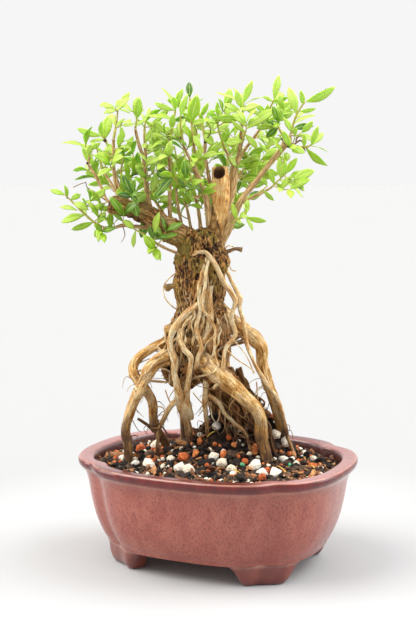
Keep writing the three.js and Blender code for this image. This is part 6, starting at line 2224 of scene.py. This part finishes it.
        height = lift[:, :, None] + fold + ripple + face * thick
        points = (
            start[:, None, None]
            + ahead[:, None, None] * (share * length[:, None])[:, :, None, None]
            + side[:, None, None] * (half * loop)[..., None]
            + up[:, None, None] * height[..., None]
        )
        shell = np.concatenate([points.reshape(count, -1, 3), foot[:, None], tip[:, None]], 1)
        blade = np.stack(np.broadcast_arrays(share[:, None], loop, 0.0), -1).reshape(-1, 3)
        blades = np.repeat(np.vstack([blade, [0, 0, 0], [1, 0, 0]])[None], count, 0)
        blades[..., 2] = np.arange(count)[:, None]
        each = shell.shape[1]
        first = (np.arange(count) * each)[:, None, None]
        quads, low, high = [part[None, :, ::-1] for part in shell_faces(len(share), len(loop))]
        ends = np.concatenate([low, high], 1)
        faces = [(part + first).reshape(-1, part.shape[-1]) for part in (quads, ends)]
        surface.add(shell.reshape(-1, 3), faces, blade=blades.reshape(-1, 3), tone=np.repeat(tone, each))

    @staticmethod
    def _branches() -> Piece:
        """The woody branches that carry other shoots."""
        surface = Surface()
        for key, controls in enumerate(BRANCHES):
            add_tube(surface, laid_line(controls, 0.9), 14, bark_relief(0.45, 130 + key), key + 300, tone=0.0)
        return surface.piece("woody_branches")

    def _bud_scales(self) -> Piece:
        """Dark knots and bud scales, and a few dry twigs."""
        surface = Surface()
        reach = np.linspace(-1, 1, 9)[:, None]
        for key, (*place, radius) in enumerate(rows(self.buds)):
            lean = np.array([0.3 * math.sin(2.3 * key), 0.3 * math.cos(1.7 * key), 1.0])
            ball = radius * np.sqrt(np.maximum(1 - reach**2, 0.04))
            line = np.hstack([LAYOUT.place(place)[0] + lean * reach * radius, ball])
            add_tube(surface, line, 12, bark_relief(0.9, 150 + key), key + 320, tone=0.3)
        for key, controls in enumerate(self.twigs):
            add_tube(surface, laid_line(controls, 0.8), 7, None, key + 340, tone=0.9)
        return surface.piece("buds_and_twigs")

    def dress(self, made: dict[str, Piece], finishes: Finishes) -> None:
        """Gives the crown its leaves' and stems' finishes, and hides the solids that they stand for.

        Args:
            made: the pieces by their names.
            finishes: the materials.
        """
        for side, members in self.groups.items():
            solids = [f"leafy_stem_{member + 1:02d}" for member in members]
            dress(made[side.value], finishes["leaf"], solids)
            dress(made[f"{side.value}_stems"], finishes["shoot"])
        dress(made["branches"], finishes["shoot"])
        dress(made["buds"], finishes["bud"])


# The studio


@dataclass
class Studio:
    """A pale seamless floor, soft lamps and the camera.

    pale: how far from the pot, in metres, the floor turns from its near tone, painted paler as painted light
    that lifts the pot's shadow, to its far one. overhead: from and to where the sky brightens, and how much.
    lamps: each lamp's direction in the layout, its breadth in degrees, its power and its colour.
    """

    lens: float = 69.2
    sensor: float = 36.0
    pitch: float = 6.3
    white: float = 0.9215
    floor: float = 0.349
    shadow_lifted_near_floor: float = 0.425
    floor_size: float = 400.0
    pale: tuple[float, float] = (0.13, 0.34)
    overhead: tuple[float, float, float] = (0.45, 0.9, 1.65)
    clip: tuple[float, float] = (0.02, 60.0)
    lamps: str = """0.8 -1 0.12 46 3.05 1 0.985 0.95, -0.85 -0.85 -0.05 50 2.4 0.97 0.985 1,
        1 -0.14 -0.1 30 1.15 1 0.99 0.97, -1 -0.14 -0.1 30 0.9 0.97 0.985 1, -0.5 -0.8 0.6 12 0.3 1 1 1"""

    def build(self) -> None:
        """Makes the camera, the sweep, the lamps and the sky."""
        self._camera()
        self._sweep()
        for name, row in zip(("key", "fill", "left", "right", "glint"), rows(self.lamps)):
            self._lamp(name, row)
        self._sky()

    @staticmethod
    def _aimed(name: str, data: bpy.types.ID, ahead: Array) -> Piece:
        """A new camera or lamp that looks along a direction.

        Args:
            name: its name.
            data: the camera or the lamp.
            ahead: the direction.

        Returns:
            The new object.
        """
        made = bpy.data.objects.new(name, data)
        bpy.context.scene.collection.objects.link(made)
        made.rotation_mode = "QUATERNION"
        made.rotation_quaternion = Vector(ahead).to_track_quat("-Z", "Y")
        return made

    def _camera(self) -> None:
        """The camera at the layout's eye."""
        data = bpy.data.cameras.new("camera")
        data.lens, data.sensor_width = self.lens, self.sensor
        data.clip_start, data.clip_end = self.clip
        tilt = math.radians(self.pitch)
        camera = self._aimed("camera", data, LAYOUT.turned(0, -math.sin(tilt), math.cos(tilt)))
        camera.location = Vector(LAYOUT.eye() * MM + POT_MIDDLE)
        bpy.context.scene.camera = camera

    def _sweep(self) -> None:
        """A broad flat floor, painted paler near the pot as painted light that lifts the pot's shadow."""
        bpy.ops.mesh.primitive_plane_add(size=self.floor_size, location=(0, 0, 0))
        floor = bpy.context.object
        floor.name = "floor"
        material = bpy.data.materials.new("pale_floor")
        material.use_nodes = True
        tree = material.node_tree
        away = node(tree, "ShaderNodeVectorMath", {"operation": "LENGTH"}, {0: place_of(tree)}, "Value")
        # painted light: the floor's colour is paler near the pot to lift its shadow
        pale = away.spread(*self.pale, self.shadow_lifted_near_floor, self.floor)
        for key, value in (("Base Color", pale), ("Roughness", 1.0), ("Specular IOR Level", 0.0)):
            feed(tree.nodes["Principled BSDF"].inputs[key], value)
        floor.data.materials.append(material)
        floor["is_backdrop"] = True

    def _lamp(self, name: str, row: Sequence[float]) -> None:
        """A broad far lamp that shines along a direction, the same all over the floor.

        Args:
            name: its name.
            row: its direction, breadth, power and colour.
        """
        data = bpy.data.lights.new(name, "SUN")
        data.angle = math.radians(row[3])
        data.energy = row[4]
        data.color = row[5:]
        self._aimed(name, data, LAYOUT.turned(*row[:3]))

    def _sky(self) -> None:
        """A white sky as bright as the floor, and brighter overhead."""
        world = bpy.data.worlds.new("sky")
        world.use_nodes = True
        tree = world.node_tree
        above = node(tree, "ShaderNodeTexCoord", {}, {}, "Generated").parts()[2]
        light = tree.nodes["Background"].inputs
        feed(light["Color"], (1, 1, 1, 1))
        start, end, rise = self.overhead
        feed(light["Strength"], above.spread(start, end, self.white, rise * self.white))
        bpy.context.scene.world = world
        bpy.context.scene.view_settings.view_transform = "Standard"


def main() -> None:
    """Builds and dresses the bonsai, sub-assembly by sub-assembly, and logs its sizes."""
    logging.basicConfig(level=logging.INFO, format="%(message)s")
    solid_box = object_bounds()
    Studio().build()
    finishes = {key: finish.material() for key, finish in FINISHES.items()}
    for part in (Pot(), Soil(), Wood(), Crown()):
        part.dress(part.build(), finishes)
    for name in ("drain_mesh_left", "drain_mesh_right"):
        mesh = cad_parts[name]
        mesh.data.materials.clear()
        mesh.data.materials.append(finishes["plastic"])
        log.info("%s: carried over", name)
    bpy.context.view_layer.update()
    seen_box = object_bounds()
    sizes = {"cad": [list(corner) for corner in solid_box], "visual": [list(corner) for corner in seen_box]}
    for key, corners in sizes.items():
        log.info("%s box: %s", key, [[round(value, 4) for value in corner] for corner in corners])


if __name__ == "__main__":
    main()
